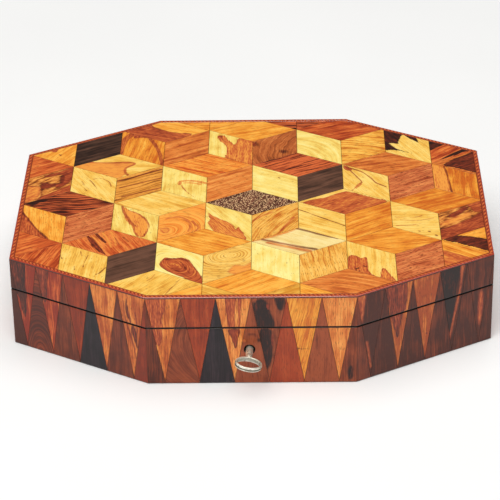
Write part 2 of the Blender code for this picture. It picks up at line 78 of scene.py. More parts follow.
def linear(code: str) -> tuple[float, float, float, float]:
    """Turn an sRGB hex value into a linear colour.

    Args:
        code: six hex digits, such as "f4c260".

    Returns:
        The four values that a colour socket takes.
    """
    parts = np.array([int(code[place:place + 2], 16) for place in (0, 2, 4)]) / 255
    curved = ((parts + 0.055) / 1.055) ** 2.4
    return (*np.where(parts <= 0.04045, parts / 12.92, curved).tolist(), 1.0)


class Recipe:
    """A new material, its node tree and shader, and the noises that mark it."""

    def __init__(self, name: str) -> None:
        """Start a material.

        Args:
            name: its name.
        """
        self.material = bpy.data.materials.new(name)
        self.material.use_nodes = True
        self.tree = self.material.node_tree
        self.shader = self.tree.nodes["Principled BSDF"]
        self.marks: dict[str, Socket] = {}

    def add(self, kind: str, settings: dict, output: int | str = 0) -> Socket:
        """Add a node with its settings and links.

        Args:
            kind: the node's type, such as "Mix".
            settings: by a property's name, or an input's name or number, a value or the
                socket that feeds it; "stops" holds a ramp's places and colours.
            output: the name or number of the output that is wanted.

        Returns:
            The output.
        """
        node = self.tree.nodes.new(f"ShaderNode{kind}")
        for name, value in settings.items():
            if name == "stops":
                elements = node.color_ramp.elements
                while len(elements) < len(value):
                    elements.new(1.0)
                for element, (place, code) in zip(elements, value):
                    element.position, element.color = place, linear(code)
            elif isinstance(value, Socket):
                self.tree.links.new(value, node.inputs[name])
            elif isinstance(name, str) and hasattr(node, name):
                setattr(node, name, value)
            else:
                node.inputs[name].default_value = value
        return node.outputs[output]

    def mark(self, place: Socket, noises: dict[str, tuple]) -> None:
        """Read noises at one place, each from 0 to 1 and about 0.5.

        Args:
            place: where to read them.
            noises: by name, a spot's size along each axis, and how much detail it has.
        """
        for name, (sizes, detail) in noises.items():
            share = tuple(1 / size for size in sizes)
            scaled = self.add("VectorMath", {"operation": "MULTIPLY", 0: place, 1: share})
            noise = {"Vector": scaled, "Scale": 1.0, "Detail": detail}
            self.marks[name] = self.add("TexNoise", noise)

    def added_up(
        self, total: Socket | float, terms: list[tuple], sway: dict[str, float] | None = None
    ) -> Socket:
        """Add up terms, and let marks sway the sum by their distance from their middle.

        Args:
            total: what the sum starts from; a number, where marks sway it.
            terms: pairs of a socket and its strength.
            sway: by the names of the marks that count, their strengths.

        Returns:
            The sum.
        """
        for name, strength in (sway or {}).items():
            terms = [*terms, (self.marks[name], strength / NOISE_SPREAD)]
            total -= strength / NOISE_SPREAD / 2
        for socket, strength in terms:
            step = {"operation": "MULTIPLY_ADD", 0: socket, 1: strength, 2: total}
            total = self.add("Math", step)
        return total

    def amounts(self, ranges: list[tuple]) -> list[tuple]:
        """Turn marks into amounts of colours.

        Args:
            ranges: for each colour, the mark, its values where the colour starts and
                where it is whole, the strength there, and the colour.

        Returns:
            Pairs of an amount and a colour.
        """
        found = []
        for mark, start, end, strength, top in ranges:
            reach = {0: mark, "From Min": start, "From Max": end, "To Max": strength}
            found.append((self.add("MapRange", reach), top))
        return found

    def wear(self, gloss: tuple, relief: Socket, depth: float, strength: float) -> None:
        """Let a surface's gloss and its fine relief follow its marks.

        Args:
            gloss: a mark's name, and the roughness where it is low and where it is high.
            relief: the relief's height, about one unit from low to high.
            depth: how deep that unit is, in metres.
            strength: how strongly the relief shows.
        """
        name, low, high = gloss
        reach = {0: self.marks[name], "From Min": 0.3, "From Max": 0.7}
        reach |= {"To Min": low, "To Max": high}
        bump = {"Strength": strength, "Distance": depth, "Height": relief}
        for node, inputs, socket in (("MapRange", reach, "Roughness"), ("Bump", bump, "Normal")):
            self.tree.links.new(self.add(node, inputs), self.shader.inputs[socket])

    def finished(self, colour: Socket, layers: list[tuple], values: dict[str, float]) -> Material:
        """Give the shader its colour and its constants.

        Args:
            colour: the lowest colour.
            layers: pairs of an amount and a colour or its hex value, from the lowest up.
            values: the shader's constants.

        Returns:
            The material.
        """
        for amount, top in layers:
            top = linear(top) if isinstance(top, str) else top
            sockets = {"data_type": "RGBA", MIX_FACTOR: amount, MIX_A: colour, MIX_B: top}
            colour = self.add("Mix", sockets, MIX_COLOUR)
        self.tree.links.new(colour, self.shader.inputs["Base Color"])
        for name, value in values.items():
            self.shader.inputs[name].default_value = value
        return self.material


@dataclass(frozen=True)
class Wood:
    """A sawn veneer, scraped flat and French polished.

    The polish gives the eye a warm, clear depth with a soft gloss. Sizes are millimetres
    across the grain, or along it and across; streaks, fibres and clouds run longer along
    it by their own stretch. Strengths are shares of the way from dark to light. A
    figure's edge wavers by waver_mm and blends into the wood over blend_mm.
    """

    name: str
    light: str
    body: str
    dark: str
    streak: float = 0.17
    streak_mm: float = 2.8
    stretch: float = 20.0
    fibre: float = 0.15
    fibre_mm: float = 0.75
    fibre_stretch: float = 26.0
    mottle: float = 0.13
    mottle_mm: float = 8.0
    mottle_stretch: float = 1.6
    growth: float = 0.0
    growth_mm: float = 3.0
    growth_power: float = 3.0
    growth_sway_mm: float = 60.0
    pores: float = 0.5
    pore: str = "5c2c12"
    pore_mm: tuple[float, float] = (3.6, 0.6)  # drawn coarser than real pores, to show
    wander_mm: float = 0.22
    dots: float = 0.0
    dot_mm: float = 0.74
    dot: str = "d8b48c"
    flecks: float = 0.0
    fleck_mm: tuple[float, float] = (3.4, 1.3)
    waver_mm: float = 2.2
    vein_waver_mm: float = 1.2
    blend_mm: float = 0.3
    roughness: float = 0.34

    def material(self) -> Material:
        """Return the finish."""
        return VeneerRecipe(self).made()


class VeneerRecipe(Recipe):
    """A wood's finish, which reads the tiles' own grain map and attributes."""

    def __init__(self, wood: Wood) -> None:
        """Read the way along and across the grain, wandering a little, and the noises.

        Args:
            wood: the wood.
        """
        super().__init__(f"{wood.name} veneer, French polished")
        self.wood = wood
        grain = self.add("UVMap", {"uv_map": "grain"})
        grain = self.add("VectorMath", {"operation": "SCALE", 0: grain, "Scale": 1 / MM})
        wander = self.add("TexNoise", {"Vector": grain, "Scale": 0.09, "Detail": 2.0}, "Color")
        reach = (0.0, wood.wander_mm / NOISE_SPREAD, 0.0)
        moved = {"operation": "MULTIPLY_ADD", 0: wander, 1: reach, 2: grain}
        self.grain = self.add("VectorMath", moved)
        self.mark(self.grain, {
            "streaks": ((wood.streak_mm * wood.stretch, wood.streak_mm, 1), 3.0),
            "fibres": ((wood.fibre_mm * wood.fibre_stretch, wood.fibre_mm, 1), 2.0),
            "clouds": ((wood.mottle_mm * wood.mottle_stretch, wood.mottle_mm, 1), 2.0),
            "pores": ((*wood.pore_mm, 1), 1.0),
            "years": ((wood.growth_sway_mm, wood.growth_mm * 2.2, 1), 1.0),
            "flecks": ((*wood.fleck_mm, 1), 2.0),
        })

    def made(self) -> Material:
        """Make the finish.

        Each layer is laid over the one before: the pores, the flecks, the cut fibre
        ends of palm, then what the tile's attributes bring.

        Returns:
            The material.
        """
        wood = self.wood
        stops = [(0.0, wood.dark), (0.5, wood.body), (1.0, wood.light)]
        colour = self.add("ValToRGB", {"stops": stops, 0: self.shade()})
        layers = self.amounts([
            (self.marks["pores"], 0.57, 0.68, wood.pores, wood.pore),
            (self.marks["flecks"], 0.63, 0.73, wood.flecks, wood.pore),
        ])
        relief = self.added_up(self.marks["fibres"], [(layers[0][0], -0.8)])
        if wood.dots:
            layers += self.fibre_ends()
        gloss = ("clouds", wood.roughness - 0.06, wood.roughness + 0.06)
        self.wear(gloss, relief, 0.05 * MM, 0.15)
        polish = {"Specular IOR Level": 0.35, "Coat Weight": 0.12, "Coat Roughness": 0.1}
        return self.finished(colour, layers + self.figures(), polish)

    def attribute(self, name: str) -> Socket:
        """Read one of the tile's attributes."""
        return self.add("Attribute", {"attribute_name": name}, "Fac")

    def shade(self) -> Socket:
        """Add up what makes the wood lighter or darker.

        The sum is one half, plus the tile's own tone, plus the noises' sway, less the
        yearly lines. A year's line is the power of the way through the year: it darkens
        slowly and ends sharply.

        Returns:
            A place on the wood's ramp of colours.
        """
        wood = self.wood
        start, terms = 0.5, [(self.attribute("tone"), 1.0)]
        if wood.growth:
            across = self.add("SeparateXYZ", {0: self.grain}, 1)
            years = self.added_up(0.0, [(across, 1 / wood.growth_mm), (self.marks["years"], 3.0)])
            for operation, power in (("FRACT", 1.0), ("POWER", wood.growth_power)):
                years = self.add("Math", {"operation": operation, 0: years, 1: power})
            terms.append((years, -wood.growth))
            start += wood.growth / (wood.growth_power + 1)
        sway = {"streaks": wood.streak, "fibres": wood.fibre, "clouds": wood.mottle}
        return self.added_up(start, terms, sway)

    def fibre_ends(self) -> list[tuple]:
        """Find how much of palm's pale fibre ends, cut on the slant, shows.

        Returns:
            An amount and its colour.
        """
        drawn = {"operation": "MULTIPLY", 0: self.grain, 1: (0.45, 1.0, 1.0)}
        cells = {"Vector": self.add("VectorMath", drawn), "Randomness": 0.8}
        cells["Scale"] = 1 / self.wood.dot_mm
        distance = self.add("TexVoronoi", cells, "Distance")
        return self.amounts([(distance, 0.5, 0.26, self.wood.dots, self.wood.dot)])

    def figures(self) -> list[tuple]:
        """Find how much of the heartwood, veins, dark joints and painted gap shade shows.

        The attributes hold distances in millimetres, below zero inside a figure. Clouds
        make its edge waver and fibres make it ragged along the grain.

        Returns:
            Pairs of an amount and the colour that is laid over.
        """
        blend = self.wood.blend_mm
        ranges = []
        for name, waver_mm, start, end, strength, top in (
            ("heart", self.wood.waver_mm, blend, -blend, 1.0, None),
            ("vein", self.wood.vein_waver_mm, blend, -blend * 0.6, 0.85, None),
            ("edge", 0.0, 0.32, 0.02, 0.42, "3c1c0a"),
            # Painted shade: nearly black at the lid's joint, round the keyhole and at the back
            # bevel, for the shadow in those gaps.
            ("stain", 0.0, 0.12, -0.04, 0.97, "080403"),
        ):
            distance = self.attribute(name)
            if waver_mm:
                wavers = [(self.marks[mark], waver_mm) for mark in ("clouds", "fibres")]
                distance = self.added_up(distance, wavers)
                start, end = start + waver_mm, end + waver_mm
                top = self.heartwood(name, distance, (start + end) / 2)
            ranges.append((distance, start, end, strength, top))
        return self.amounts(ranges)

    def heartwood(self, name: str, distance: Socket, middle: float) -> Socket:
        """Find the colour of heartwood, which is darkest at its edge, or of a vein.

        Args:
            name: the attribute that holds the distances.
            distance: how far outside the figure a point is.
            middle: the distance at which the figure's edge lies.

        Returns:
            The colour.
        """
        terms = [(self.attribute(f"{name}_tone"), 1.0)]
        if name == "heart":
            terms += self.amounts([(distance, middle - 1.1, middle - 0.1, 1.0, -0.16)])
        sway = {"streaks": 0.04, "fibres": 0.06, "pores": 0.07, "clouds": 0.05}
        tone = self.added_up(0.0, terms, sway)
        return self.add("ValToRGB", {"stops": HEARTWOOD, 0: tone})


BOXWOOD = Wood(
    "boxwood", "fff09c", "f9da74", "e0a840", streak=0.12, fibre=0.07, pores=0.12, flecks=0.4,
)
SATINWOOD = Wood(
    "satinwood", "ffdc7c", "f5c054", "d48c2c", streak=0.14, fibre=0.12, pores=0.2, flecks=0.45,
)
GOLDENWOOD = Wood("golden_satinwood", "ffbc50", "f09a32", "ce661c", pores=0.35)
OLIVEWOOD = Wood(
    "olivewood", "fdc868", "eeae4a", "cc6c20", growth=0.45, growth_mm=2.4, blend_mm=0.8,
)
LOCUST = Wood(
    "honey_locust", "ffcc60", "f4aa40", "c66a1e", growth=0.6, growth_mm=3.3, growth_power=2.0,
)
ASH = Wood("olive_ash", "fcd070", "f2bc54", "cc8430", growth=0.8, growth_mm=1.5, blend_mm=0.9)
CHERRY = Wood("cherry", "f7a452", "de7c34", "ac4a1c")
MAHOGANY = Wood(
    "mahogany", "e68c50", "cc6a3c", "963c1c", streak=0.16, fibre=0.24, pores=1.0, pore="6c2c12",
)
PADAUK = Wood("padauk", "ec8840", "ce5c28", "902a10", streak=0.2, fibre=0.2)
TULIPWOOD = Wood("tulipwood", "fcae4c", "ef862e", "c44c1c", growth=0.55, growth_mm=2.6)
KINGWOOD = Wood(
    "kingwood", "dc6c38", "9a3c1e", "2c0c06", streak=0.42, streak_mm=1.5, growth=0.7,
    growth_mm=2.2,
    growth_power=2.0, pores=0.3, fibre=0.24,
)
EBONY = Wood("ebony", "6c4838", "4c3226", "281812", streak=0.2, pores=0.2)
PALMWOOD = Wood("palmwood", "7c4c38", "5c3224", "3c1c12", dots=0.95, pores=0.0, dot="f4c896")
ZEBRAWOOD = Wood(
    "zebrawood", "f0a648", "de9034", "8c4a18", growth=1.3, growth_mm=4.2, growth_power=6.0,
)
YEW = Wood(
    "figured_yew", "f6a850", "c4702e", "5c240a", streak=0.34, streak_mm=1.8, stretch=4.0,
    waver_mm=3.0, blend_mm=0.7,
)
WALNUT = Wood(
    "walnut", "d47c40", "b45c2a", "7a3a18", growth=0.25, wander_mm=0.5, waver_mm=4.0, blend_mm=1.2,
)
HOLLY = Wood(
    "spalted_holly", "fdeaac", "f4d88c", "d8a858", streak=0.12, fibre=0.1, pores=0.1, blend_mm=0.9,
)
ROSEWOOD = Wood("rosewood", "a04c28", "7a3216", "4a1a0a", streak=0.12, fibre=0.13, blend_mm=0.7)
PARTRIDGE = Wood(
    "partridge_wood", "a44c2a", "7c3014", "4c1a0a", streak=0.1, growth=0.4, growth_mm=1.3,
)
RED_MAHOGANY = Wood("red_mahogany", "b44c20", "a03a14", "7e280c", streak=0.12, fibre=0.12)
BLACK_EBONY = Wood(
    "black_ebony", "3c2c32", "261b21", "140e12", streak=0.14, pores=0.0, waver_mm=4.0,
    blend_mm=1.1,
)


class Face(Enum):
    """The three faces of a drawn block."""

    TOP = "top"
    LEFT = "left"
    RIGHT = "right"


class GrainForm(Enum):
    """How the yearly lines run in a sheet of veneer."""

    STRAIGHT = "straight"
    ARCHED = "arched"
    RINGS = "rings"
    WAVY = "wavy"


class FigureKind(Enum):
    """What a figure in the wood is; the value names the attribute that holds it."""

    HEART = "heart"
    VEIN = "vein"


@dataclass(frozen=True)
class Figure:
    """A patch of heartwood, or a dark vein, in one tile.

    points are in hundredths of the sheet's unit from the tile's middle, to the right and
    up. A patch is a closed smooth outline. A vein is an open smooth line, width_mm wide.
    tone is a place on the scale of heartwood colours.
    """

    kind: FigureKind
    tone: float
    points: tuple[tuple[float, float], ...]
    width_mm: float = 0.5
    curve_steps: int = 8

    def path(self, unit_mm: float) -> Array:
        """Round the given points with a Catmull-Rom curve.

        Each stretch between two points is the cubic that passes through both and, at
        each of them, runs parallel to the line between its neighbours.

        Args:
            unit_mm: the sheet's unit in millimetres.

        Returns:
            M by 2, in millimetres from the tile's middle.
        """
        points = np.array(self.points) / 100 * unit_mm
        closed = self.kind is FigureKind.HEART
        first, last = (points[-1:], points[:2]) if closed else (points[:1], points[-1:])
        around = np.concatenate([first, points, last])
        before, start, end, after = around[:-3], around[1:-2], around[2:-1], around[3:]
        share = np.linspace(0, 1, self.curve_steps, endpoint=False)[:, None, None]
        curve = 0.5 * (
            2 * start
            + (end - before) * share
            + (2 * before - 5 * start + 4 * end - after) * share**2
            + (3 * start - before - 3 * end + after) * share**3
        )
        path = curve.transpose(1, 0, 2).reshape(-1, 2)
        return path if closed else np.concatenate([path, last])

    def distance(self, places: Array, unit_mm: float) -> Array:
        """Measure how far each place is from the figure.

        The distance to a path is that to the nearest of its straight stretches. Inside
        a patch, where a line to the right crosses the outline an odd number of times, it
        is negative.

        Args:
            places: N by 2, in millimetres from the tile's middle.
            unit_mm: the sheet's unit in millimetres.

        Returns:
            N distances in millimetres, negative inside.
        """
        path = self.path(unit_mm)
        closed = self.kind is FigureKind.HEART
        ends = np.roll(path, -1, axis=0) if closed else path[1:]
        starts = path if closed else path[:-1]
        run = ends - starts
        away = places[:, None] - starts[None]
        share = (away * run).sum(-1) / np.maximum((run**2).sum(-1), TINY)
        nearest = away - np.clip(share, 0, 1)[..., None] * run
        distance = np.linalg.norm(nearest, axis=-1).min(axis=1)
        if not closed:
            return distance - self.width_mm / 2
        x, y = places[:, :1], places[:, 1:]
        spans = (starts[:, 1] > y) != (ends[:, 1] > y)
        rise = np.where(run[:, 1] == 0, TINY, run[:, 1])
        crossing = starts[:, 0] + (y - starts[:, 1]) / rise * run[:, 0]
        inside = (spans & (x < crossing)).sum(axis=1) % 2 == 1
        return np.where(inside, -distance, distance)


@dataclass(frozen=True)
class Veneer:
    """One sheet of veneer: its wood, how dark it is, its grain and its figures.

    turn is degrees from the plane's first axis, amount how strongly arches or waves
    bend, stretch how long rings are for their width, and middle, in millimetres from
    the tile's middle, is where arches and rings have theirs.
    """

    wood: Wood
    tone: float
    turn: float
    figures: tuple[Figure, ...]
    form: GrainForm = GrainForm.STRAIGHT
    amount: float = 0.02
    stretch: float = 2.2
    middle: tuple[float, float] = (0.0, 0.0)
    wave_mm: float = 40.0
    wave_run_mm: float = 4.5

    def grain(self, places: Array) -> Array:
        """Find how far along and across the grain each place is.

        Straight grain is the plane turned. Arches add the square of the way along,
        rings are the distance from their middle with the way along shortened, and waves
        add a sine of the way along.

        Args:
            places: N by 2, in millimetres from the tile's middle.

        Returns:
            N by 2, in millimetres.
        """
        turn = math.radians(self.turn)
        x, y = (places - np.array(self.middle)).T
        along = x * math.cos(turn) + y * math.sin(turn)
        across = -x * math.sin(turn) + y * math.cos(turn)
        if self.form is GrainForm.ARCHED:
            across = across + self.amount * along**2
        elif self.form is GrainForm.RINGS:
            across = np.hypot(along / self.stretch, across)
        elif self.form is GrainForm.WAVY:
            across = across + self.wave_mm * self.amount * np.sin(along / self.wave_run_mm)
        return np.stack([along, across], axis=1)

    def measures(self, places: Array, unit_mm: float) -> dict[str, Array]:
        """Measure each place's distance from the nearest figure of each kind, and its tone.

        Args:
            places: N by 2, in millimetres from the tile's middle.
            unit_mm: the sheet's unit in millimetres.

        Returns:
            The values by the names of the attributes that hold them.
        """
        found = {"tone": np.full(len(places), self.tone)}
        for kind in FigureKind:
            nearest, tone = np.full(len(places), FAR), np.zeros(len(places))
            for figure in self.figures:
                if figure.kind is kind:
                    distance = figure.distance(places, unit_mm)
                    tone = np.where(distance < nearest, figure.tone, tone)
                    nearest = np.minimum(nearest, distance)
            found |= {kind.value: nearest, f"{kind.value}_tone": tone}
        return found


@dataclass(frozen=True)
class Plane:
    """A flat face of the box, with its own axes."""

    origin: Vector
    across: Vector
    up: Vector
    out: Vector

    def to_space(self, places: Array, height: Array | float) -> Array:
        """Carry places on the face into the box's frame.

        Args:
            places: N by 2, along the face's two axes.
            height: how far each of them stands out of the face.

        Returns:
            N by 3.
        """
        axes = np.array([self.across, self.up, self.out])
        height = np.broadcast_to(height, len(places))
        return np.array(self.origin) + np.column_stack([places, height]) @ axes


def clip(outline: Array, point: Array, normal: Array) -> Array:
    """Cut a convex outline along a line and keep the side that the normal points to.

    Args:
        outline: corners in order.
        point: a point on the line.
        normal: points to what is kept.

    Returns:
        The corners that are left, in the same order.
    """
    depths = (outline - point) @ normal
    ahead, depths_ahead = np.roll(outline, -1, axis=0), np.roll(depths, -1)
    kept = []
    for corner, depth, following, next_depth in zip(outline, depths, ahead, depths_ahead):
        if depth >= 0:
            kept.append(corner)
        if (depth > 0) != (next_depth > 0) and abs(depth - next_depth) > SAME:
            kept.append(corner + (following - corner) * depth / (depth - next_depth))
    kept = np.array(kept).reshape(-1, 2)
    apart = np.linalg.norm(kept - np.roll(kept, 1, axis=0), axis=1) > CLOSE
    return kept[apart]


def cut_along(outline: Array, edges: list["Edge"], inset: float = 0.0) -> Array:
    """Cut a convex outline along edges, each of them moved inwards.

    Args:
        outline: corners, anticlockwise.
        edges: where to cut.
        inset: how far each edge is moved.

    Returns:
        The corners that are left.
    """
    for edge in edges:
        inward = np.array(edge.inward)
        outline = clip(outline, np.array(edge.point) + inward * inset, inward)
    return outline


def grid_quads(numbers: Array, closed: bool) -> Array:
    """Return the quads between the points of a grid.

    Args:
        numbers: the points' numbers, with rows and columns as the last two axes.
        closed: whether each row runs round to its own start.

    Returns:
        M by 4; a quad's second point is in the next row, its fourth in the next column.
    """
    ahead = np.roll(numbers, -1, axis=-1)
    if not closed:
        numbers, ahead = numbers[..., :-1], ahead[..., :-1]
    corners = [numbers[..., :-1, :], numbers[..., 1:, :], ahead[..., 1:, :], ahead[..., :-1, :]]
    return np.stack(corners, axis=-1).reshape(-1, 4)


@dataclass
class Patch:
    """A grid of quads over an outline.

    points are N by 2, quads M by 4, and each rim is a closed loop of point numbers, in
    the order in which the face that it bounds runs round.
    """

    points: Array
    quads: Array
    rims: list[Array]


NEAR_EDGE = (0.0, 0.07 * MM, 0.2 * MM, 0.55 * MM)


def convex_patch(outline: Array, spacing: float) -> Patch:
    """Cover a convex outline with quads.

    Each corner owns the four-sided patch between itself, the middles of its two edges
    and the outline's middle. A point in it is the corner, plus x times the way to the
    next edge's middle, plus y times the way to the last edge's, plus x times y times
    what is left to the outline's middle. Lines lie close together along the edges, for
    the rounding.

    Args:
        outline: corners, anticlockwise.
        spacing: the quads' size away from the edges.

    Returns:
        The patch, with one rim.
    """
    middle = outline.mean(axis=0)
    ahead = (outline + np.roll(outline, -1, axis=0)) / 2
    behind = np.roll(ahead, 1, axis=0)
    reach = np.linalg.norm(ahead - outline, axis=1).mean()
    near = [place / reach for place in NEAR_EDGE if place < 0.4 * reach]
    rest = np.linspace(near[-1], 1, max(2, round((1 - near[-1]) * reach / spacing)) + 1)
    steps = np.concatenate([near[:-1], rest])
    last = len(steps) - 1
    x, y = steps[None, :, None, None], steps[None, None, :, None]
    corner, ahead, behind = (part[:, None, None] for part in (outline, ahead, behind))
    grid = corner + x * (ahead - corner) + y * (behind - corner)
    grid = grid + x * y * (middle - ahead - behind + corner)
    count = len(outline)
    own = grid[:, :, :last].reshape(-1, 2)
    numbers = np.empty((count, last + 1, last + 1), int)
    numbers[:, :, :last] = np.arange(len(own)).reshape(count, last + 1, last)
    numbers[:, :last, last] = np.roll(numbers[:, last, :last], 1, axis=0)
    numbers[:, last, last] = len(own)
    rim = np.concatenate([numbers[:, 0, :0:-1], numbers[:, :-1, 0]], axis=1).ravel()
    return Patch(np.vstack([own, middle]), grid_quads(numbers, False), [rim])


def pierced_patch(outline: Array, middle: Array, hole: "Keyhole", spacing: float) -> Patch:
    """Cover a convex outline with quads, apart from a keyhole in it.

    A point is a share of the way from the keyhole's edge to the outline's, along a ray
    from the keyhole's middle.

    Args:
        outline: corners, anticlockwise.
        middle: the keyhole's middle.
        hole: the keyhole.
        spacing: the quads' size away from the edges.

    Returns:
        The patch, with its outer rim first and the keyhole's second.
    """
    corners = np.arctan2(*(outline - middle).T[::-1])
    angles = np.linspace(-math.pi, math.pi, HOLE_STEPS, endpoint=False)
    angles = np.unique(np.concatenate([angles, corners, hole.corner_angles()]).round(9))
    rays = np.stack([np.cos(angles), np.sin(angles)], axis=1)
    run = np.roll(outline, -1, axis=0) - outline
    outward = np.stack([run[:, 1], -run[:, 0]], axis=1)
    slope = rays @ outward.T
    reach = ((outline - middle) * outward).sum(axis=1) / np.where(slope > SAME, slope, np.nan)
    outer, inner = np.nanmin(reach, axis=1), hole.reach(angles)
    width = (outer - inner).mean()
    near = np.array(NEAR_EDGE) / width
    inside = np.linspace(near[-1], 1 - near[-1], max(4, round(width / spacing)) + 1)
    shares = np.concatenate([near[:-1], inside, 1 - near[-2::-1]])
    lengths = inner[None] + shares[:, None] * (outer - inner)[None]
    points = middle + lengths[..., None] * rays[None]
    numbers = np.arange(lengths.size).reshape(lengths.shape)
    rims = [numbers[-1], numbers[0][::-1]]
    return Patch(points.reshape(-1, 2), grid_quads(numbers, True), rims)


@dataclass
class Veneering:
    """Tiles of veneer gathered into one mesh on a face, each of them a closed slab.

    unit_mm is what the figures' points are hundredths of.
    """

    plane: Plane
    thickness: float
    unit_mm: float = 100.0
    woods: list[Wood] = field(default_factory=list)
    points: list[Array] = field(default_factory=list)
    faces: Faces = field(default_factory=list)
    grain: list[Array] = field(default_factory=list)
    measures: dict[str, list[Array]] = field(default_factory=dict)
    count: int = 0

    def lay(
        self, patch: Patch, veneer: Veneer, middle: Array, offset: Array, edges: list["Edge"]
    ) -> None:
        """Lay one tile.

        Its face drops at each edge like a quarter circle of the edge's own radius. Its
        walls go straight in, or slant as the edge says, and a flat back closes it.

        Args:
            patch: the grid that covers the tile.
            veneer: the wood, the grain and the figures.
            middle: the place from which grain and figures are measured.
            offset: where in the log the sheet was cut, in millimetres.
            edges: the tile's edges.
        """
        if veneer.wood not in self.woods:
            self.woods.append(veneer.wood)
        slot = self.woods.index(veneer.wood)
        distances = np.array([edge.distance(patch.points) for edge in edges])
        radii = np.array([edge.radius for edge in edges])[:, None]
        short = np.clip(radii - distances, 0, radii)
        drop = (radii - np.sqrt(radii**2 - short**2)).max(axis=0)
        self.points.append(self.plane.to_space(patch.points, -drop))
        self.faces.append((patch.quads + self.count, slot, True))
        numbers, backs = np.arange(len(drop)), []
        count = self.count + len(drop)
        for rim in patch.rims:
            places = patch.points[rim]
            for edge in edges:
                places = places + edge.lean(patch.points[rim], self.thickness)
            self.points.append(self.plane.to_space(places, -self.thickness))
            numbers = np.concatenate([numbers, rim])
            back, front = np.arange(len(rim)) + count, rim + self.count
            count += len(rim)
            backs.append(back)
            walls = np.stack([np.roll(front, -1), front, back, np.roll(back, -1)], axis=1)
            self.faces.append((walls, slot, False))
        if len(backs) == 1:
            closing = backs[0][None, ::-1]
        else:
            outer, inner = backs[0], backs[1][::-1]
            closing = np.stack([np.roll(outer, -1), outer, inner, np.roll(inner, -1)], axis=1)
        self.faces.append((closing, slot, False))
        self.count = count
        places_mm = (patch.points - middle) / MM
        self.grain.append((veneer.grain(places_mm) + offset)[numbers] * MM)
        # The last measure is painted shade, nearly black, from the edges that carry it: the shadow
        # in the gaps.
        gap_shade_reaches = np.array([edge.stain_mm for edge in edges])[:, None]
        measures = veneer.measures(places_mm, self.unit_mm)
        measures["edge"] = distances.min(axis=0) / MM
        measures["stain"] = (distances / MM - gap_shade_reaches).min(axis=0)
        for name, values in measures.items():
            self.measures.setdefault(name, []).append(values[numbers])

    def piece(self, name: str, finishes: dict[Wood, Material]) -> Piece:
        """Make the mesh.

        Args:
            name: the piece's name.
            finishes: the woods' finishes.

        Returns:
            The piece.
        """
        materials = [finishes[wood] for wood in self.woods]
        made = surface(name, np.concatenate(self.points), self.faces, materials)
        corners = np.empty(len(made.data.loops), int)
        made.data.loops.foreach_get("vertex_index", corners)
        add_map(made, "grain", np.concatenate(self.grain)[corners])
        for attribute, values in self.measures.items():
            add_attribute(made, attribute, np.concatenate(values))
        return made


def add_map(piece: Piece, name: str, values: Array) -> None:
    """Give each corner of a piece's faces its place on a UV map."""
    piece.data.uv_layers.new(name=name).data.foreach_set("uv", values.ravel())


def add_attribute(piece: Piece, name: str, values: Array) -> None:
    """Give each point of a piece its value of an attribute."""
    layer = piece.data.attributes.new(name, "FLOAT", "POINT")
    layer.data.foreach_set("value", values)


def surface(name: str, points: Array, faces: Faces, materials: list[Material]) -> Piece:
    """Put points and faces into a new piece.

    Args:
        name: the piece's name.
        points: N by 3.
        faces: groups of faces with their points' numbers, material slot and smoothness.
        materials: the finishes, by slot.

    Returns:
        The piece, in the scene.
    """
    mesh = bpy.data.meshes.new(name)
    corners = np.concatenate([group.ravel() for group, _, _ in faces])
    sizes = np.concatenate([np.full(len(group), group.shape[1]) for group, _, _ in faces])
    slots = np.concatenate([np.full(len(group), slot) for group, slot, _ in faces])
    smooth = np.concatenate([np.full(len(group), flag) for group, _, flag in faces])
    for part, count, name_of, values in (
        (mesh.vertices, len(points), "co", points.ravel()),
        (mesh.loops, len(corners), "vertex_index", corners),
        (mesh.polygons, len(sizes), "loop_start", np.cumsum(sizes) - sizes),
    ):
        part.add(count)
        part.foreach_set(name_of, values)
    mesh.polygons.foreach_set("material_index", slots)
    mesh.polygons.foreach_set("use_smooth", smooth)
    mesh.update(calc_edges=True)
    for material in materials:
        mesh.materials.append(material)
    return linked(name, mesh)


def linked(name: str, data: bpy.types.ID) -> Piece:
    """Put a mesh, a light or a camera into the scene.

    Args:
        name: the object's name.
        data: what it shows.

    Returns:
        The object.
    """
    made = bpy.data.objects.new(name, data)
    bpy.context.scene.collection.objects.link(made)
    return made


def placed(piece: Piece, body: str, node: str = "") -> Piece:
    """Let a piece ride on a body and stand for a node.

    Args:
        piece: the piece.
        body: the body's name.
        node: the node's name, if it stands for one.

    Returns:
        The piece.
    """
    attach(piece, body)
    if node:
        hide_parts(node)
    return piece


@dataclass(frozen=True)
class Edge:
    """A tile's edge: a line, the tile's side of it, and its rounding.

    slant is how far the wall runs along the tile, for each unit that it goes in: away
    from the edge if it is positive. The last field is how far painted shade, nearly black,
    reaches from it: the shadow in a gap there.
    """

    point: tuple[float, float]
    inward: tuple[float, float]
    radius: float
    slant: float = 0.0
    stain_mm: float = -FAR

    def distance(self, places: Array) -> Array:
        """Return how far inside the edge each place is."""
        return (places - np.array(self.point)) @ np.array(self.inward)

    def lean(self, places: Array, thickness: float) -> Array:
        """Return how far the back of each place on this edge is shifted."""
        on_edge = np.abs(self.distance(places)) < CLOSE / 2
        return on_edge[:, None] * np.array(self.inward) * self.slant * thickness


@dataclass(frozen=True)
class HoleEdge(Edge):
    """The edge of a round hole about a point, with the tile outside it."""

    hole: float = 0.0

    def distance(self, places: Array) -> Array:
        """Return how far outside the hole each place is."""
        return np.linalg.norm(places - np.array(self.point), axis=1) - self.hole

    def lean(self, places: Array, thickness: float) -> Array:
        """Return no shift, since the hole goes straight in."""
        return np.zeros_like(places)


def edges_of(outline: Array, radius: float) -> list[Edge]:
    """Find the edges of an outline.

    Args:
        outline: corners, anticlockwise.
        radius: the edges' rounding.

    Returns:
        One edge for each side.
    """
    run = np.roll(outline, -1, axis=0) - outline
    run = run / np.linalg.norm(run, axis=1, keepdims=True)
    inward = np.stack([-run[:, 1], run[:, 0]], axis=1)
    return [Edge(tuple(point), tuple(way), radius) for point, way in zip(outline, inward)]


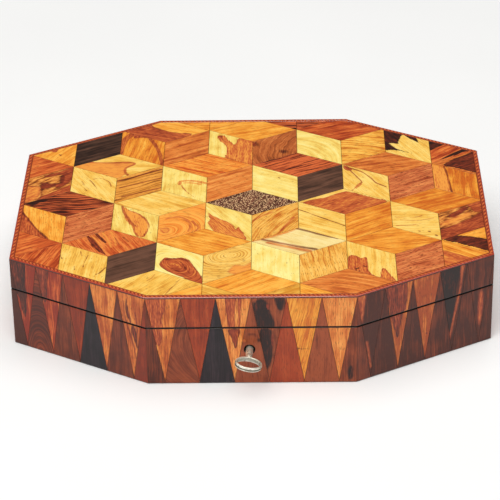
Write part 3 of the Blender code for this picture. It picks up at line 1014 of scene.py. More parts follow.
@dataclass(frozen=True)
class Keyhole:
    """A round hole with a slot below it."""

    radius: float
    slot: float
    drop: float

    def corner_angles(self) -> Array:
        """Find the slot's corners.

        Returns:
            Their angles, seen from the round hole's middle.
        """
        half = self.slot / 2
        low = math.atan2(-self.drop, half)
        high = math.atan2(-math.sqrt(self.radius**2 - half**2), half)
        return np.array([low, high, -math.pi - low, -math.pi - high])

    def reach(self, angles: Array) -> Array:
        """Find how far the opening reaches.

        It is the round hole's radius, or where that is longer, the way to the slot's
        side or to its bottom, whichever comes first.

        Args:
            angles: seen from the round hole's middle.

        Returns:
            The way at each angle.
        """
        down = np.maximum(-np.sin(angles), TINY)
        beside = np.maximum(np.abs(np.cos(angles)), TINY)
        slot = np.minimum(self.slot / 2 / beside, self.drop / down)
        return np.maximum(self.radius, np.where(np.sin(angles) < 0, slot, 0))


SIDES = ("front", "front_right", "right", "back_right", "back", "back_left", "left", "front_left")


@dataclass(frozen=True)
class BoxSizes:
    """Sizes of the box; all but the last three are read from the frame."""

    low: Vector
    high: Vector
    field_high: Vector
    front: float
    front_half: float
    side_half: float
    foot: float
    rim: float
    lid_rim: float
    lid_top: float
    keyhole_x: float
    keyhole_z: float = 24.7 * MM
    side_veneer: float = 1.2 * MM
    rebate: float = 1.0 * MM

    @classmethod
    def read(cls) -> "BoxSizes":
        """Read the sizes from the frame.

        Returns:
            The sizes.
        """
        low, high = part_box("base_veneer_front")
        lid_low, lid_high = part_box("lid_veneer_front")
        side_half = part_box("base_veneer_right")[1].y
        lock_left, lock_right = (corner.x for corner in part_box("lock"))
        return cls(
            *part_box("lid_banding"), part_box("lid_parquetry")[1], low.y, high.x, side_half, low.z,
            high.z, lid_low.z, lid_high.z, (lock_left + lock_right) / 2,
        )

    @property
    def side_top(self) -> float:
        """Return the side veneers' top, which hides the banding's lower part."""
        return self.lid_top + self.rebate

    @property
    def banding_width(self) -> float:
        """Return the width of the banding."""
        return self.high.x - self.field_high.x

    def outline(self, inset: float = 0.0) -> Array:
        """Draw the octagon.

        Args:
            inset: how far its sides are moved inwards.

        Returns:
            Its corners from the front left one, anticlockwise.
        """
        x, y, front, side = self.high.x, self.high.y, self.front_half, self.side_half
        right = [(front, -y), (x, -side), (x, side), (front, y)]
        whole = np.array([(-front, -y), *right, (-front, y), (-x, side), (-x, -side)])
        return cut_along(whole, edges_of(whole, 0), inset)

    def side_plane(self, index: int) -> tuple[Plane, float]:
        """Return a side's outer face, with its origin at the middle of its foot.

        Args:
            index: the side's place in SIDES.

        Returns:
            The plane and half the side's length.
        """
        start, end = np.roll(self.outline(), -index, axis=0)[:2]
        length = float(np.linalg.norm(end - start))
        across = Vector((*((end - start) / length), 0))
        out = Vector((across.y, -across.x, 0))
        return Plane(Vector((*((start + end) / 2), 0)), across, Vector((0, 0, 1)), out), length / 2


@dataclass(frozen=True)
class LidTile:
    """One rhombus of the lid, at its place in the lattice of tumbling blocks."""

    face: Face
    column: int
    row: int
    veneer: Veneer


def cut(
    face: Face, column: int, row: int, wood: Wood, tone: float = 0.0, turn: float = 0.0,
    *figures: Figure, **run: float | GrainForm | tuple[float, float],
) -> LidTile:
    """Choose the veneer of one rhombus.

    Args:
        face: which face of its block it is.
        column: half widths of a block to the right of the lid's middle.
        row: half sides of a rhombus from the lattice's first row to the front.
        wood: its wood.
        tone: lighter above 0 and darker below.
        turn: the grain's turn in degrees.
        figures: its figures.
        run: the veneer's form, middle, amount or stretch.

    Returns:
        The tile.
    """
    return LidTile(face, column, row, Veneer(wood, tone, turn, figures, **run))


def heart(tone: float, *numbers: float) -> Figure:
    """Return a patch of heartwood of this tone, outlined by x, y, x, y and so on."""
    return Figure(FigureKind.HEART, tone, tuple(zip(numbers[::2], numbers[1::2])))


def vein(tone: float, width_mm: float, *numbers: float) -> Figure:
    """Return a vein of this tone and width, by way of x, y, x, y and so on."""
    return Figure(FigureKind.VEIN, tone, tuple(zip(numbers[::2], numbers[1::2])), width_mm)


T, L, R = Face.TOP, Face.LEFT, Face.RIGHT
ARCHED, RINGS, WAVY = GrainForm.ARCHED, GrainForm.RINGS, GrainForm.WAVY

LID_TILES = (
    cut(T, -2, 0, GOLDENWOOD, 0.35, -20,
        heart(0.6, -90, 0, -36, 33, -25, 17, -6, 3, 10, -5, 28, -10, 52, -18, 0, -58)),
    cut(T, 0, 0, GOLDENWOOD, 0.1, 20),
    cut(T, 2, 0, PADAUK, -0.15, 20),
    cut(T, -5, 3, PADAUK, 0.1, 30),
    cut(T, -3, 3, SATINWOOD, 0.1, 5,
        heart(1.0, -90, 0, -60, 18, -35, 15, -6, 14, 16, 16, 30, 12, 28, 4, 19, -3, 14, -12,
            15, -27, 10, -42, 0, -56),
        vein(0.68, 1.7, -60, 17, -35, 15, -6, 14, 16, 16, 30, 12, 28, 4, 19, -3, 14, -12, 15, -27,
            22, -40)),
    cut(T, -1, 3, TULIPWOOD, 0.05, -25),
    cut(T, 1, 3, KINGWOOD, 0.3, 28),
    cut(T, 3, 3, CHERRY, -0.1, 15),
    cut(T, 5, 3, CHERRY, -0.1, 30,
        heart(0.28, -62, -3, 0, 48, 14, 30, 12, -46, 0, -42, -34, -22)),
    cut(T, -4, 6, KINGWOOD, -0.2, 5,
        heart(0.02, -80, 2, -52, 20, -40, 14, -54, 4, -66, -6), form=WAVY, amount=0.016),
    cut(T, -2, 6, SATINWOOD, 0.1, -30),
    cut(T, 0, 6, PALMWOOD, 0.0, 62),
    cut(T, 2, 6, SATINWOOD, 0.2, 30,
        heart(0.72, -78, -4, -35, 18, 0, 38, 14, 36, 56, 13, 80, -3, 30, -35, 0, -52, -60, -17)),
    cut(T, 4, 6, GOLDENWOOD, -0.3, 25),
    cut(T, -5, 9, PADAUK, 0.0, 30),
    cut(T, -3, 9, PADAUK, 0.25, -62,
        heart(0.42, -44, 22, -34, 20, -22, -2, -5, -40, -11, -40, -30, -12),
        heart(0.34, -30, 37, -22, 32, -6, 4, -10, 0, -24, 20),
        vein(0.95, 1.2, -14, 36, -4, 12, 4, -16),
        vein(0.95, 1.0, -34, 26, -20, 2, -12, -18),
        vein(0.9, 1.2, 0, 40, 8, 16, 12, -10),
        vein(0.3, 0.6, 6, 24, 12, 10, 18, -6),
        vein(0.35, 0.6, 24, 20, 34, 2)),
    cut(T, -1, 9, GOLDENWOOD, 0.05, -25),
    cut(T, 1, 9, HOLLY, 0.1, -28,
        heart(0.98, -90, 0, 0, 54, -14, 36, -66, 7),
        vein(0.4, 1.8, -4, 48, 30, 30, 70, 9),
        vein(0.36, 2.2, -66, 7, -36, -6, 0, -20, 30, -30),
        vein(0.8, 2.6, -56, -4, -30, -16, 0, -28, 20, -36)),
    cut(T, 3, 9, GOLDENWOOD, -0.05, 10),
    cut(T, 5, 9, GOLDENWOOD, 0.1, 30,
        heart(0.24, -83, 2, -66, 15, -35, 13, -4, 2, 4, -10, 0, -40, -50, -16)),
    cut(T, -2, 12, SATINWOOD, 0.0, 52,
        vein(0.5, 0.5, 50, 26, 40, 2, 22, -36),
        vein(0.6, 0.4, -12, 12, -4, 22, 2, 36)),
    cut(T, 0, 12, GOLDENWOOD, 0.18, 35),
    cut(T, 2, 12, CHERRY, 0.0, -35, form=ARCHED, middle=(0, -40), amount=0.008),
    cut(L, -4, 0, GOLDENWOOD, 0.2, 60,
        heart(0.72, -12, 4, 4, 8, 8, -4, 2, -14, -12, -9),
        heart(0.5, 11, -24, 15, -24, 15, -28, 11, -28)),
    cut(L, -2, 0, GOLDENWOOD, -0.1, 82,
        vein(0.62, 4.6, -24, 60, -36, 38, -41, 10, -44, -20),
        vein(0.6, 2.4, 12, 42, 24, 14, 34, -22, 41, -68),
        heart(0.66, -24, 66, -10, 70, 30, 52, 44, 34, 20, 40, 8, 44, -6, 46, -18, 44)),
    cut(L, 0, 0, BOXWOOD, 0.0, 90,
        heart(0.84, -26, 46, -21, 52, -19, 47, -15, 52, -10, 46, -4, 30, 2, 20, 6, 12, 10, 15,
            13, 28, 16, 38, 24, 36, 50, 30, 56, -12, 50, -80, -12, -50, -10, -40, -8, -10,
            -12, 12, -22, 28),
        vein(0.62, 1.4, -21, 49, -17, 38, -12, 24),
        vein(0.66, 1.6, -9, -34, -3, -46, 8, -52)),
    cut(L, 2, 0, BOXWOOD, 0.0, -45, form=ARCHED),
    cut(L, 4, 0, SATINWOOD, 0.15, -60,
        heart(0.1, -46, 82, -8, 54, -7, 46, -8, 45, -12, 34, -16, 20, -16, 8, -17, 8, -26, 11,
            -35, 12, -35, 11, -27, -2, -15, -17, -1, -27, -1, -28, -15, -21, -29, -16, -48, -12,
            -54, 30),
        heart(0.12, -5, 50, 14, 42, 21, 24, 22, 15, 21, 15, 14, 22, 6, 32)),
    cut(L, -3, 3, SATINWOOD, 0.2, -60,
        vein(0.5, 0.4, -24, 14, -16, -1, -2, -21),
        vein(0.5, 0.4, -22, 4, -14, -9, -7, -18),
        vein(0.5, 0.4, -9, 19, -2, 6, 8, -18),
        vein(0.6, 0.4, -2, 22, 11, 26, 28, 12, 34, -8),
        vein(0.5, 0.5, -17, -14, -12, -24)),
    cut(L, -1, 3, BOXWOOD, 0.0, 90,
        vein(0.84, 2.6, -9, 0, -8, 9, 4, 13, 20, 11, 42, 2),
        vein(0.92, 1.6, 0, 4, 14, 4, 30, -2),
        vein(0.7, 0.5, -5, -7, 5, -31, 21, -54)),
    cut(L, 1, 3, BOXWOOD, 0.1, -30, vein(0.45, 0.9, 7, 22, 9, 20)),
    cut(L, 3, 3, SATINWOOD, 0.15, -60,
        vein(0.5, 1.0, -33, 61, -28, 48, -18, 26, -8, 4, -12, -7, -27, -32),
        vein(0.5, 1.0, -27, 58, -7, 43, 10, 18, 20, -2, 38, -19),
        vein(0.72, 2.2, -11, -6, -20, -22),
        heart(0.72, -40, 70, -29, 61, -25, 53, -31, 48, -40, 56)),
    cut(L, 5, 3, GOLDENWOOD, -0.3, 90,
        heart(1.0, -56, 66, -22, 56, -18, 26, -15, -20, -13, -46, -56, -36),
        vein(0.4, 1.1, -20, 62, -16, 26, -12, -41)),
    cut(L, -4, 6, GOLDENWOOD, 0.2, 95,
        heart(0.68, -54, 62, -41, 50, -28, 21, -16, -2, -5, -26, 6, -46, 14, -60, -54, -40),
        vein(0.4, 1.3, -43, 49, -28, 19, -10, -18, 13, -54),
        vein(0.45, 0.8, -44, -36, -24, -46, -4, -62)),
    cut(L, -2, 6, BOXWOOD, -0.1, 100,
        heart(1.0, -24, 60, -24, 38, -19, 15, -9, -7, 0, -34, 8, -52, 17, -53, 24, -32, 25, -6,
            13, 22, -1, 38, -11, 45),
        vein(0.6, 2.0, -26, 64, -24, 46, -18, 26, -10, 6, -1, -14),
        vein(0.66, 1.1, -1, -14, 0, -34, 8, -52),
        vein(0.62, 1.2, -14, 46, -1, 38, 13, 22, 25, -6, 24, -32, 17, -53),
        vein(0.78, 0.5, -2, 27, -1, 25),
        vein(0.78, 0.5, 4, 18, 5, 16),
        vein(0.78, 0.5, 8, 8, 9, 5),
        vein(0.78, 0.5, 12, -4, 13, -7),
        vein(0.78, 0.5, 4, 4, 5, 1),
        vein(0.2, 0.8, -14, 48, -8, 50)),
    cut(L, 0, 6, BOXWOOD, 0.0, -60,
        heart(0.86, -39, 36, -28, 23, -13, 9, 1, -2, 8, -15, 14, -30, 19, -20, 23, -33, 29, -48,
            32, -66, 16, -60, -2, -51, -18, -42, -25, -36, -33, -18, -39, -2, -34, 9, -36, 21),
        vein(0.7, 0.7, -34, 22, -22, 2, -8, -16, 4, -38)),
    cut(L, 2, 6, SATINWOOD, 0.2, -30, vein(0.45, 0.7, -44, 46, -2, 14, 41, -18)),
    cut(L, 4, 6, SATINWOOD, 0.2, 0,
        vein(0.7, 0.5, -36, 12, -8, 9, 12, 16),
        vein(0.65, 0.5, -28, 2, 4, -1, 34, 8),
        vein(0.7, 0.5, -36, -20, -8, -18, 10, -12),
        vein(0.5, 1.0, 4, -41, 6, -42),
        vein(0.5, 1.0, 22, -42, 24, -44),
        vein(0.4, 1.2, 34, -57, 36, -59)),
    cut(L, -3, 9, SATINWOOD, 0.1, 84,
        vein(0.5, 0.4, 8, 31, 3, 8, 1, -12),
        vein(0.5, 0.4, -7, 44, -4, 28),
        vein(0.4, 0.6, -15, -9, -14, -22),
        vein(0.4, 0.6, -44, 34, -39, 18),
        vein(0.4, 0.7, 41, -16, 33, -32, 26, -39)),
    cut(L, -1, 9, BOXWOOD, 0.25, -55,
        heart(0.64, -28, 15, -26, 19, -14, 17, 4, 18, 16, 12, 22, 0, 28, -15, 35, -30, 41, -48,
            46, -74, 32, -72, 16, -59, 4, -50, -8, -40, -20, -29, -31, -15, -35, -3, -32, 8),
        vein(0.42, 1.6, -28, 13, -14, 14, 4, 13, 16, 6),
        vein(0.5, 0.8, -22, 0, -12, 6, 2, 2, 10, -14, 20, -38),
        vein(0.5, 0.8, -18, -12, -6, -26, 8, -40, 24, -56),
        vein(0.85, 1.4, -14, -4, -4, -6, 4, -18), form=RINGS, middle=(-2.4, -2.5), stretch=1.9),
    cut(L, 1, 9, BOXWOOD, 0.3, 90),
    cut(L, 3, 9, SATINWOOD, 0.2, 90,
        heart(0.76, -56, 10, -43, 10, -37, 23, -28, 19, -20, 12, -11, 15, -7, 4, -7, -34, 3, -51,
            12, -58, 15, -34, 20, -24, 26, -34, 32, -50, 42, -76, 20, -90, -56, -60),
        vein(0.05, 1.3, -29, -27, -25, -24),
        vein(0.2, 0.9, -15, -16, -11, -20),
        vein(0.3, 0.8, -30, -36, -22, -34)),
    cut(L, 5, 9, GOLDENWOOD, 0.0, -36,
        heart(0.72, -54, 44, -42, 38, -20, 26, -6, 17, 10, 8, 40, -12, 44, -40, -54, -50)),
    cut(R, -4, 0, EBONY, -0.25, 30),
    cut(R, -2, 0, CHERRY, -0.1, 30),
    cut(R, 0, 0, WALNUT, 0.04, 72,
        heart(0.24, 12, -13, 18, -13, 22, -19, 18, -26, 12, -24, 9, -18),
        heart(0.42, -48, 24, -40, 22, -36, 12, -40, 4, -48, 0),
        form=ARCHED, middle=(20, 0), amount=0.01),
    cut(R, 2, 0, LOCUST, 0.05, -5, form=RINGS, middle=(-10, -30), stretch=1.8),
    cut(R, 4, 0, PADAUK, 0.0, 45,
        heart(0.1, -46, 24, -10, 8, -26, -4, -46, -20),
        heart(0.05, 28, -12, 14, -21, 0, -33, -22, -55, -40, -72, -20, -58, 3, -42, 24, -28,
            42, -20)),
    cut(R, -5, 3, YEW, 0.12, 40,
        heart(0.88, -44, -10, -17, -8, -15, -34, -19, -53, -44, -66),
        heart(0.6, -13, -50, 13, -25, 45, 0, 46, -30, 4, -58, -12, -66),
        heart(0.5, -12, 38, 17, 56, 45, 74, 46, 34, 38, 8, 26, -7, 14, -10, 12, 4, 20, 8, 26, 34,
            16, 42, 2, 32),
        heart(0.36, 21, 38, 30, 40, 34, 23, 31, 1, 23, 3, 19, 20),
        heart(0.38, -16, 8, -4, 12, 4, 7, 13, 9, 16, -6, 3, -14, -6, -16, -11, -26, -15, -10),
        vein(0.4, 0.8, -38, -3, -26, -5, -18, -3),
        vein(0.36, 0.8, -12, -24, -10, -42, -16, -60)),
    cut(R, -3, 3, ZEBRAWOOD, 0.1, 28,
        vein(0.42, 1.5, -44, 13, -20, 24, 0, 37, 40, 60),
        vein(0.45, 1.2, -36, -14, 0, 4, 20, 15, 44, 26),
        vein(0.48, 1.2, -30, -50, 0, -35, 44, -14)),
    cut(R, -1, 3, CHERRY, 0.05, 30),
    cut(R, 1, 3, EBONY, 0.2, 30),
    cut(R, 3, 3, MAHOGANY, 0.05, 30),
    cut(R, -4, 6, MAHOGANY, 0.1, 30),
    cut(R, -2, 6, TULIPWOOD, 0.35, 35,
        vein(0.82, 1.6, -30, 14, -6, 20, 10, 6, 17, -14, 14, -34),
        vein(0.8, 1.2, 20, 4, 26, -10, 32, -20, 26, -34),
        heart(0.86, -40, -26, -28, -20, -20, -30, -30, -42),
        form=RINGS, middle=(-10, -11), stretch=1.25),
    cut(R, 0, 6, OLIVEWOOD, -0.02, 58,
        vein(0.72, 1.0, -40, 4, -26, 20, -6, 36),
        vein(0.74, 1.4, 34, 14, 22, -8, 10, -34), form=ARCHED, amount=0.006),
    cut(R, 2, 6, GOLDENWOOD, -0.1, 32),
    cut(R, 4, 6, YEW, 0.05, 32,
        heart(0.44, -26, 14, -12, 32, 6, 52, 14, 44, 2, 26, -14, 8),
        heart(0.62, 12, 60, 44, 78, 48, 40, 26, 30, 20, 44),
        heart(0.98, -40, -14, -14, 8, 12, 26, 16, 18, -6, -2, -30, -20),
        heart(0.54, -48, -44, -18, -18, 20, 10, 44, 32, 50, -30, 0, -56, -48, -80)),
    cut(R, -5, 9, PADAUK, 0.0, 70),
    cut(R, -3, 9, EBONY, 0.35, 30),
    cut(R, -1, 9, ASH, 0.2, 22,
        heart(0.94, 14, -10, 30, -12, 48, -2, 48, -44, 8, -40, 4, -26),
        form=RINGS, middle=(2, 9), stretch=1.5),
    cut(R, 1, 9, OLIVEWOOD, 0.15, 97),
    cut(R, 3, 9, MAHOGANY, 0.05, 30),
    cut(L, -1, -3, GOLDENWOOD, 0.0, 0),
    cut(R, -1, -3, GOLDENWOOD, 0.0, 0),
    cut(L, 1, -3, KINGWOOD, 0.1, 0),
    cut(R, 1, -3, KINGWOOD, 0.1, 0),
    cut(R, -2, 12, GOLDENWOOD, 0.3, 30),
    cut(L, 0, 12, SATINWOOD, -0.3, -30),
    cut(R, 0, 12, SATINWOOD, -0.4, 30),
    cut(L, 2, 12, GOLDENWOOD, 0.2, -30),
)


@dataclass
class LidParquetry:
    """The lid's top: rhombuses of veneer that draw tumbling blocks."""

    sizes: BoxSizes
    side: float = 34.77 * MM
    middle_row: int = 6
    gap: float = 0.12 * MM
    arris: float = 0.14 * MM
    grid: float = 1.4 * MM
    fine_grid: float = 0.5 * MM
    seed: int = 7

    def rhombus(self, tile: LidTile) -> Array:
        """Return a tile's corners, anticlockwise.

        Args:
            tile: the tile.

        Returns:
            4 by 2, before the banding cuts it.
        """
        lattice = {
            Face.TOP: [(-1, 0), (0, 1), (1, 0), (0, -1)],
            Face.LEFT: [(-1, 0), (-1, 2), (0, 3), (0, 1)],
            Face.RIGHT: [(0, 1), (0, 3), (1, 2), (1, 0)],
        }[tile.face]
        places = np.array(lattice) + (tile.column, tile.row - self.middle_row)
        return places * (math.sqrt(3) / 2 * self.side, -self.side / 2)

    def build(self) -> list[Piece]:
        """Lay every tile, with one piece for each wood.

        Returns:
            The pieces.
        """
        sizes = self.sizes
        plane = Plane(Vector((0, 0, sizes.high.z)), *Matrix.Identity(3))
        ground = edges_of(sizes.outline(sizes.banding_width), 0)
        fresh = (plane, sizes.high.z - sizes.low.z, self.side / MM)
        chance = np.random.default_rng(self.seed)
        sheets: dict[Wood, Veneering] = {}
        for tile in LID_TILES:
            offset = chance.uniform(-LOG_MM, LOG_MM, 2)
            veneer, whole = tile.veneer, self.rhombus(tile)
            outline = cut_along(whole, ground)
            outline = cut_along(outline, edges_of(outline, 0), self.gap / 2)
            patch = convex_patch(outline, self.fine_grid if veneer.figures else self.grid)
            sheet = sheets.setdefault(veneer.wood, Veneering(*fresh))
            edges = edges_of(outline, self.arris)
            sheet.lay(patch, veneer, whole.mean(axis=0), offset, edges)
        pieces = []
        for wood, sheet in sheets.items():
            piece = sheet.piece(f"lid_{wood.name}_tiles", {wood: wood.material()})
            pieces.append(placed(piece, "lid", "lid_parquetry"))
        return pieces


@dataclass(frozen=True)
class RopeStringing:
    """Banding of slanting slips of light and dark padauk beside a dark string.

    Sawn across, rounded by wear and polished, it gives the eye a fine red and orange
    rope whose rounded edge shines with the polish, with a faint painted highlight there and
    painted shade below it. Sizes are millimetres, and across runs inward from the middle of
    the rounded edge; the pitch is drawn coarser than the real one, to show.
    """

    # Down the outer face the bands are nearly black: a dark joint with the side veneer, deepened by
    # painted shade. The slightly pinker band at the edge's middle is a faint painted highlight.
    bands: tuple[tuple[float, str], ...] = (
        (-0.75, "1c0806"), (-0.4, "4c180e"), (0.0, "a8402c"), (0.5, "a8341c"), (0.9, "b04420"),
        (2.1, "b44c20"), (2.6, "9c3c18"),
    )
    slip_light: str = "e47436"
    slip_dark: str = "7c1c0c"
    rope_mm: tuple[float, float] = (0.9, 2.3)
    pitch_mm: float = 2.7
    slant: float = 0.9

    def material(self) -> Material:
        """Make the finish.

        The rope is a sine of the way along and across. Its high parts are light slips
        and its lowest parts dark ones, on the rope's own width alone.

        Returns:
            A material that reads the banding's own map, along it and across it.
        """
        recipe = Recipe("rope stringing, inlaid and polished")
        run = recipe.add("UVMap", {"uv_map": "run"})
        run = recipe.add("VectorMath", {"operation": "SCALE", 0: run, "Scale": 1 / MM})
        recipe.mark(run, {"grit": ((0.7, 0.7, 0.7), 2.0)})
        along, across = (recipe.add("SeparateXYZ", {0: run}, axis) for axis in (0, 1))
        low, high = self.bands[0][0], self.bands[-1][0]
        reach = {0: across, "From Min": low, "From Max": high}
        stops = [((at - low) / (high - low), colour) for at, colour in self.bands]
        colour = recipe.add("ValToRGB", {"stops": stops, 0: recipe.add("MapRange", reach)})
        turn = 2 * math.pi / self.pitch_mm
        slip = recipe.added_up(0.0, [(across, turn * self.slant), (along, turn)])
        slip = recipe.add("Math", {"operation": "SINE", 0: slip})
        middle, half = sum(self.rope_mm) / 2, (self.rope_mm[1] - self.rope_mm[0]) / 2
        off = recipe.add("Math", {"operation": "SUBTRACT", 0: across, 1: middle})
        off = recipe.add("Math", {"operation": "ABSOLUTE", 0: off})
        ((inside, _),) = recipe.amounts([(off, half + 0.15, half - 0.2, 1.0, None)])
        layers = []
        for amount, top in recipe.amounts([
            (slip, -0.3, -0.8, 0.85, self.slip_dark),
            (slip, 0.0, 0.6, 0.85, self.slip_light),
        ]):
            shown = {"operation": "MULTIPLY", 0: amount, 1: inside}
            layers.append((recipe.add("Math", shown), top))
        recipe.wear(("grit", 0.2, 0.34), recipe.marks["grit"], 0.02 * MM, 0.2)
        return recipe.finished(colour, layers, {"Coat Weight": 1.0, "Coat Roughness": 0.08})


@dataclass
class Banding:
    """The banding round the lid's top, mitred at the eight corners."""

    sizes: BoxSizes
    arris: float = 0.8 * MM
    inner_arris: float = 0.1 * MM
    gap: float = 0.12 * MM
    arc_steps: int = 6
    stretches: int = 12
    long_slips: float = 0.6

    def profile(self) -> Array:
        """Draw the section.

        From the inner face's foot it runs out, up behind the side's veneer, out over
        its top, up to the outer arris, a quarter circle, and in along the top.

        Returns:
            N by 2: how far in from the outer face, and the height.
        """
        low, high = self.sizes.low.z, self.sizes.high.z
        inner = self.sizes.banding_width - self.gap / 2
        behind, over = self.sizes.side_veneer + self.gap / 2, self.sizes.side_top + self.gap / 2
        turn = np.linspace(0, math.pi / 2, self.arc_steps + 1)
        arris = self.arris * np.stack([1 - np.cos(turn), np.sin(turn) - 1], axis=1) + (0, high)
        set_in, set_down = inner - self.inner_arris, high - self.inner_arris
        top = [(inner / 2, high), (set_in, high), (inner, set_down)]
        rebate = [(inner, low), (behind, low), (behind, over), (0.0, over)]
        return np.concatenate([rebate, arris, top])

    def build(self) -> Piece:
        """Carry the section round the octagon.

        A point is the outer corner path's point plus its inset times the mitre line,
        both taken in even steps along each side.

        Returns:
            The piece.
        """
        outer, width = self.sizes.outline(), self.sizes.banding_width
        share = np.linspace(0, 1, self.stretches + 1)[:, None]
        path, inward = (
            ends[:, None] * (1 - share) + np.roll(ends, -1, axis=0)[:, None] * share
            for ends in (outer, (self.sizes.outline(width) - outer) / width)
        )
        profile = self.profile()
        flat = path[:, :, None] + inward[:, :, None] * profile[:, :1]
        height = np.broadcast_to(profile[:, 1], flat.shape[:3])
        points = np.concatenate([flat, height[..., None]], axis=-1)
        run = np.roll(outer, -1, axis=0) - outer
        tangent = run / np.linalg.norm(run, axis=1, keepdims=True)
        along = ((flat - path[:, :1, None]) * tangent[:, None, None]).sum(axis=-1)
        along[2::4] *= self.long_slips  # the left and the right, drawn coarser to show
        steps = np.linalg.norm(np.diff(profile, axis=0, append=profile[:1]), axis=1)
        across = np.cumsum(steps) - steps
        across = across - across[len(profile) - 4 - self.arc_steps // 2]
        numbers = np.arange(along.size).reshape(along.shape)
        corners = grid_quads(numbers, True)
        numbers[:, -1] = np.roll(numbers[:, 0], -1, axis=0)
        used, quads = np.unique(numbers.ravel()[corners], return_inverse=True)
        faces = [(quads.reshape(-1, 4), 0, True)]
        finish = RopeStringing().material()
        piece = surface("lid_rope_banding", points.reshape(-1, 3)[used], faces, [finish])
        maps = np.stack([along, np.broadcast_to(across, along.shape)], axis=-1)
        add_map(piece, "run", maps.reshape(-1, 2)[corners.ravel()])
        piece.data.set_sharp_from_angle(angle=math.radians(40))
        return placed(piece, "lid", "lid_banding")


def upright(
    wood: Wood, tone: float = 0.0, *figures: Figure, turn: float = 90.0,
    form: GrainForm = GrainForm.STRAIGHT, middle: tuple[float, float] = (0.0, 30.0),
) -> Veneer:
    """Return a side's veneer; its figures are in millimetres from the foot of its axis."""
    return Veneer(wood, tone, turn, figures, form, middle=middle)


@dataclass(frozen=True)
class SideScheme:
    """The woods of one side: triangles that point down, and those that point up.

    Both run from left to right as one looks at the side. The first and the last that
    point up are cut in half by the box's corners.
    """

    down: tuple[Veneer, ...]
    up: tuple[Veneer, ...]


FRONT = SideScheme((
    upright(CHERRY, -0.1,
        heart(0.62, -12, 64, 0.5, 64, 1.3, 54, -1.3, 47, 0.4, 42, -2, 30, -5, 30, -10, 50)),
    upright(RED_MAHOGANY, 0.0),
    upright(CHERRY, 0.15,
        heart(0.64, -4.6, 64, 1.2, 64, 1, 52, 0.6, 41, -2.6, 41, -4.4, 50),
        heart(0.66, 2.8, 64, 4.8, 64, 4.6, 52, 3.6, 41, 2.4, 41),
        heart(0.5, -3, 39, 3.4, 39, 2.8, 32, 1, 26, -1.4, 32)),
    upright(ROSEWOOD, 0.25,
        heart(0.0, -9.5, 58, -4, 61, 0, 55, 2, 48, 3, 41, -7, 41, -9, 50),
        heart(0.02, 3.6, 62, 9.6, 62, 8.4, 53, 5, 55),
        heart(0.0, -6, 39, 1.6, 39, 2, 30, 2, 20, 0, 12, -1.6, 8, -4, 16, -5.4, 28),
        heart(0.5, -2.4, 57, 0.4, 57, 0.2, 52, -1.8, 53),
        heart(0.46, 0.8, 36, 2.8, 35, 2.4, 27, 0.6, 29)),
    upright(GOLDENWOOD, -0.15, vein(0.3, 0.6, -4, 25.4, -1.5, 24.8, 2, 25.3), turn=78.0),
    upright(CHERRY, 0.1),
), (
    upright(ROSEWOOD, -0.3),
    upright(ROSEWOOD, 0.15, form=ARCHED),
    upright(BLACK_EBONY, -0.1),
    upright(ROSEWOOD, 0.4,
        heart(0.05, 3.6, 33, 5.6, 33, 6.6, 31.4, 5.4, 29.8, 3.6, 30.4),
        vein(0.25, 1.2, -1.5, 35.4, 1, 35.6, 4, 34),
        vein(0.82, 1.2, -6.4, 31, -4.6, 31.2)),
    upright(RED_MAHOGANY, 0.05),
    upright(ROSEWOOD, 0.45),
    upright(ROSEWOOD, 0.05, heart(0.12, -6, 8, -3, 12, -2, 4, -5, 2)),
))
# The front left's tones are lowered below the front's as painted shade: this side turns away from
# the key light.
FRONT_LEFT = SideScheme((
    upright(PADAUK, -0.7,
        heart(0.2, -11, 64, 1, 64, 1.2, 46, 2, 38, 1, 29, -0.5, 22, -3, 27, -4, 34, -7, 42,
            -10, 52)),
    upright(PADAUK, -0.4, heart(0.36, -12, 64, -1, 64, -2, 50, -4, 38, -8, 44)),
    upright(RED_MAHOGANY, -0.3),
    upright(CHERRY, -0.22),
    upright(CHERRY, -0.25,
        heart(0.3, -4.4, 57, -3, 58, -1.6, 50, 0.4, 44, -0.6, 40, -2.6, 43, -4.4, 49),
        heart(0.34, 0.8, 42, 2.4, 38, 3.4, 30, 4.4, 22, 3, 24, 1, 31, -0.6, 37),
        vein(0.4, 1.0, -5.6, 56, -4.6, 44, -1.4, 33, 1, 24, 2, 16),
        vein(0.5, 0.8, 2.4, 50, 3.4, 44, 4, 36)),
), (
    upright(ROSEWOOD, -0.85),
    upright(PARTRIDGE, -0.2, form=RINGS, middle=(0.0, -4.0)),
    upright(ROSEWOOD, -0.1),
    upright(BLACK_EBONY, -0.2),
    upright(ROSEWOOD, -0.15),
    upright(RED_MAHOGANY, -0.5),
))
# The front right's tones are lowered further still as painted shade: this side turns furthest from
# the key light.
FRONT_RIGHT = SideScheme((
    upright(ROSEWOOD, -0.62,
        heart(0.7, -11, 64, -4.5, 64, -5, 52, -7, 42),
        vein(0.6, 1.2, -3, 27, -1.6, 20, 0, 8)),
    upright(CHERRY, -0.32,
        heart(0.42, -11, 64, 5, 64, 5.6, 44, 3, 40, 0, 24, -3, 30, -6, 42),
        heart(0.72, -5.6, 57, -3, 59, -1.4, 55, -1.6, 46, -4, 44, -6, 50)),
    upright(CHERRY, -0.52, vein(0.3, 1.0, 0.4, 20, 1, 19.6)),
    upright(ROSEWOOD, -0.6,
        heart(-0.05, -8.5, 64, 4, 64, 3, 48, 1.5, 36, -2, 16, -4, 20, -8, 44),
        heart(0.72, 5, 64, 8, 64, 5.6, 44, 4.6, 38, -1.4, 10, -2, 13, 2.6, 37, 4.8, 48)),
    upright(ROSEWOOD, -0.4, heart(0.62, -0.4, 37, 2.4, 37, 3, 26, 1, 14, -1, 18)),
), tuple(upright(ROSEWOOD, tone) for tone in (-0.02, -0.52, -0.52, -0.32, -0.42, -0.52)))
SCHEMES = {"front": FRONT, "front_left": FRONT_LEFT, "front_right": FRONT_RIGHT}


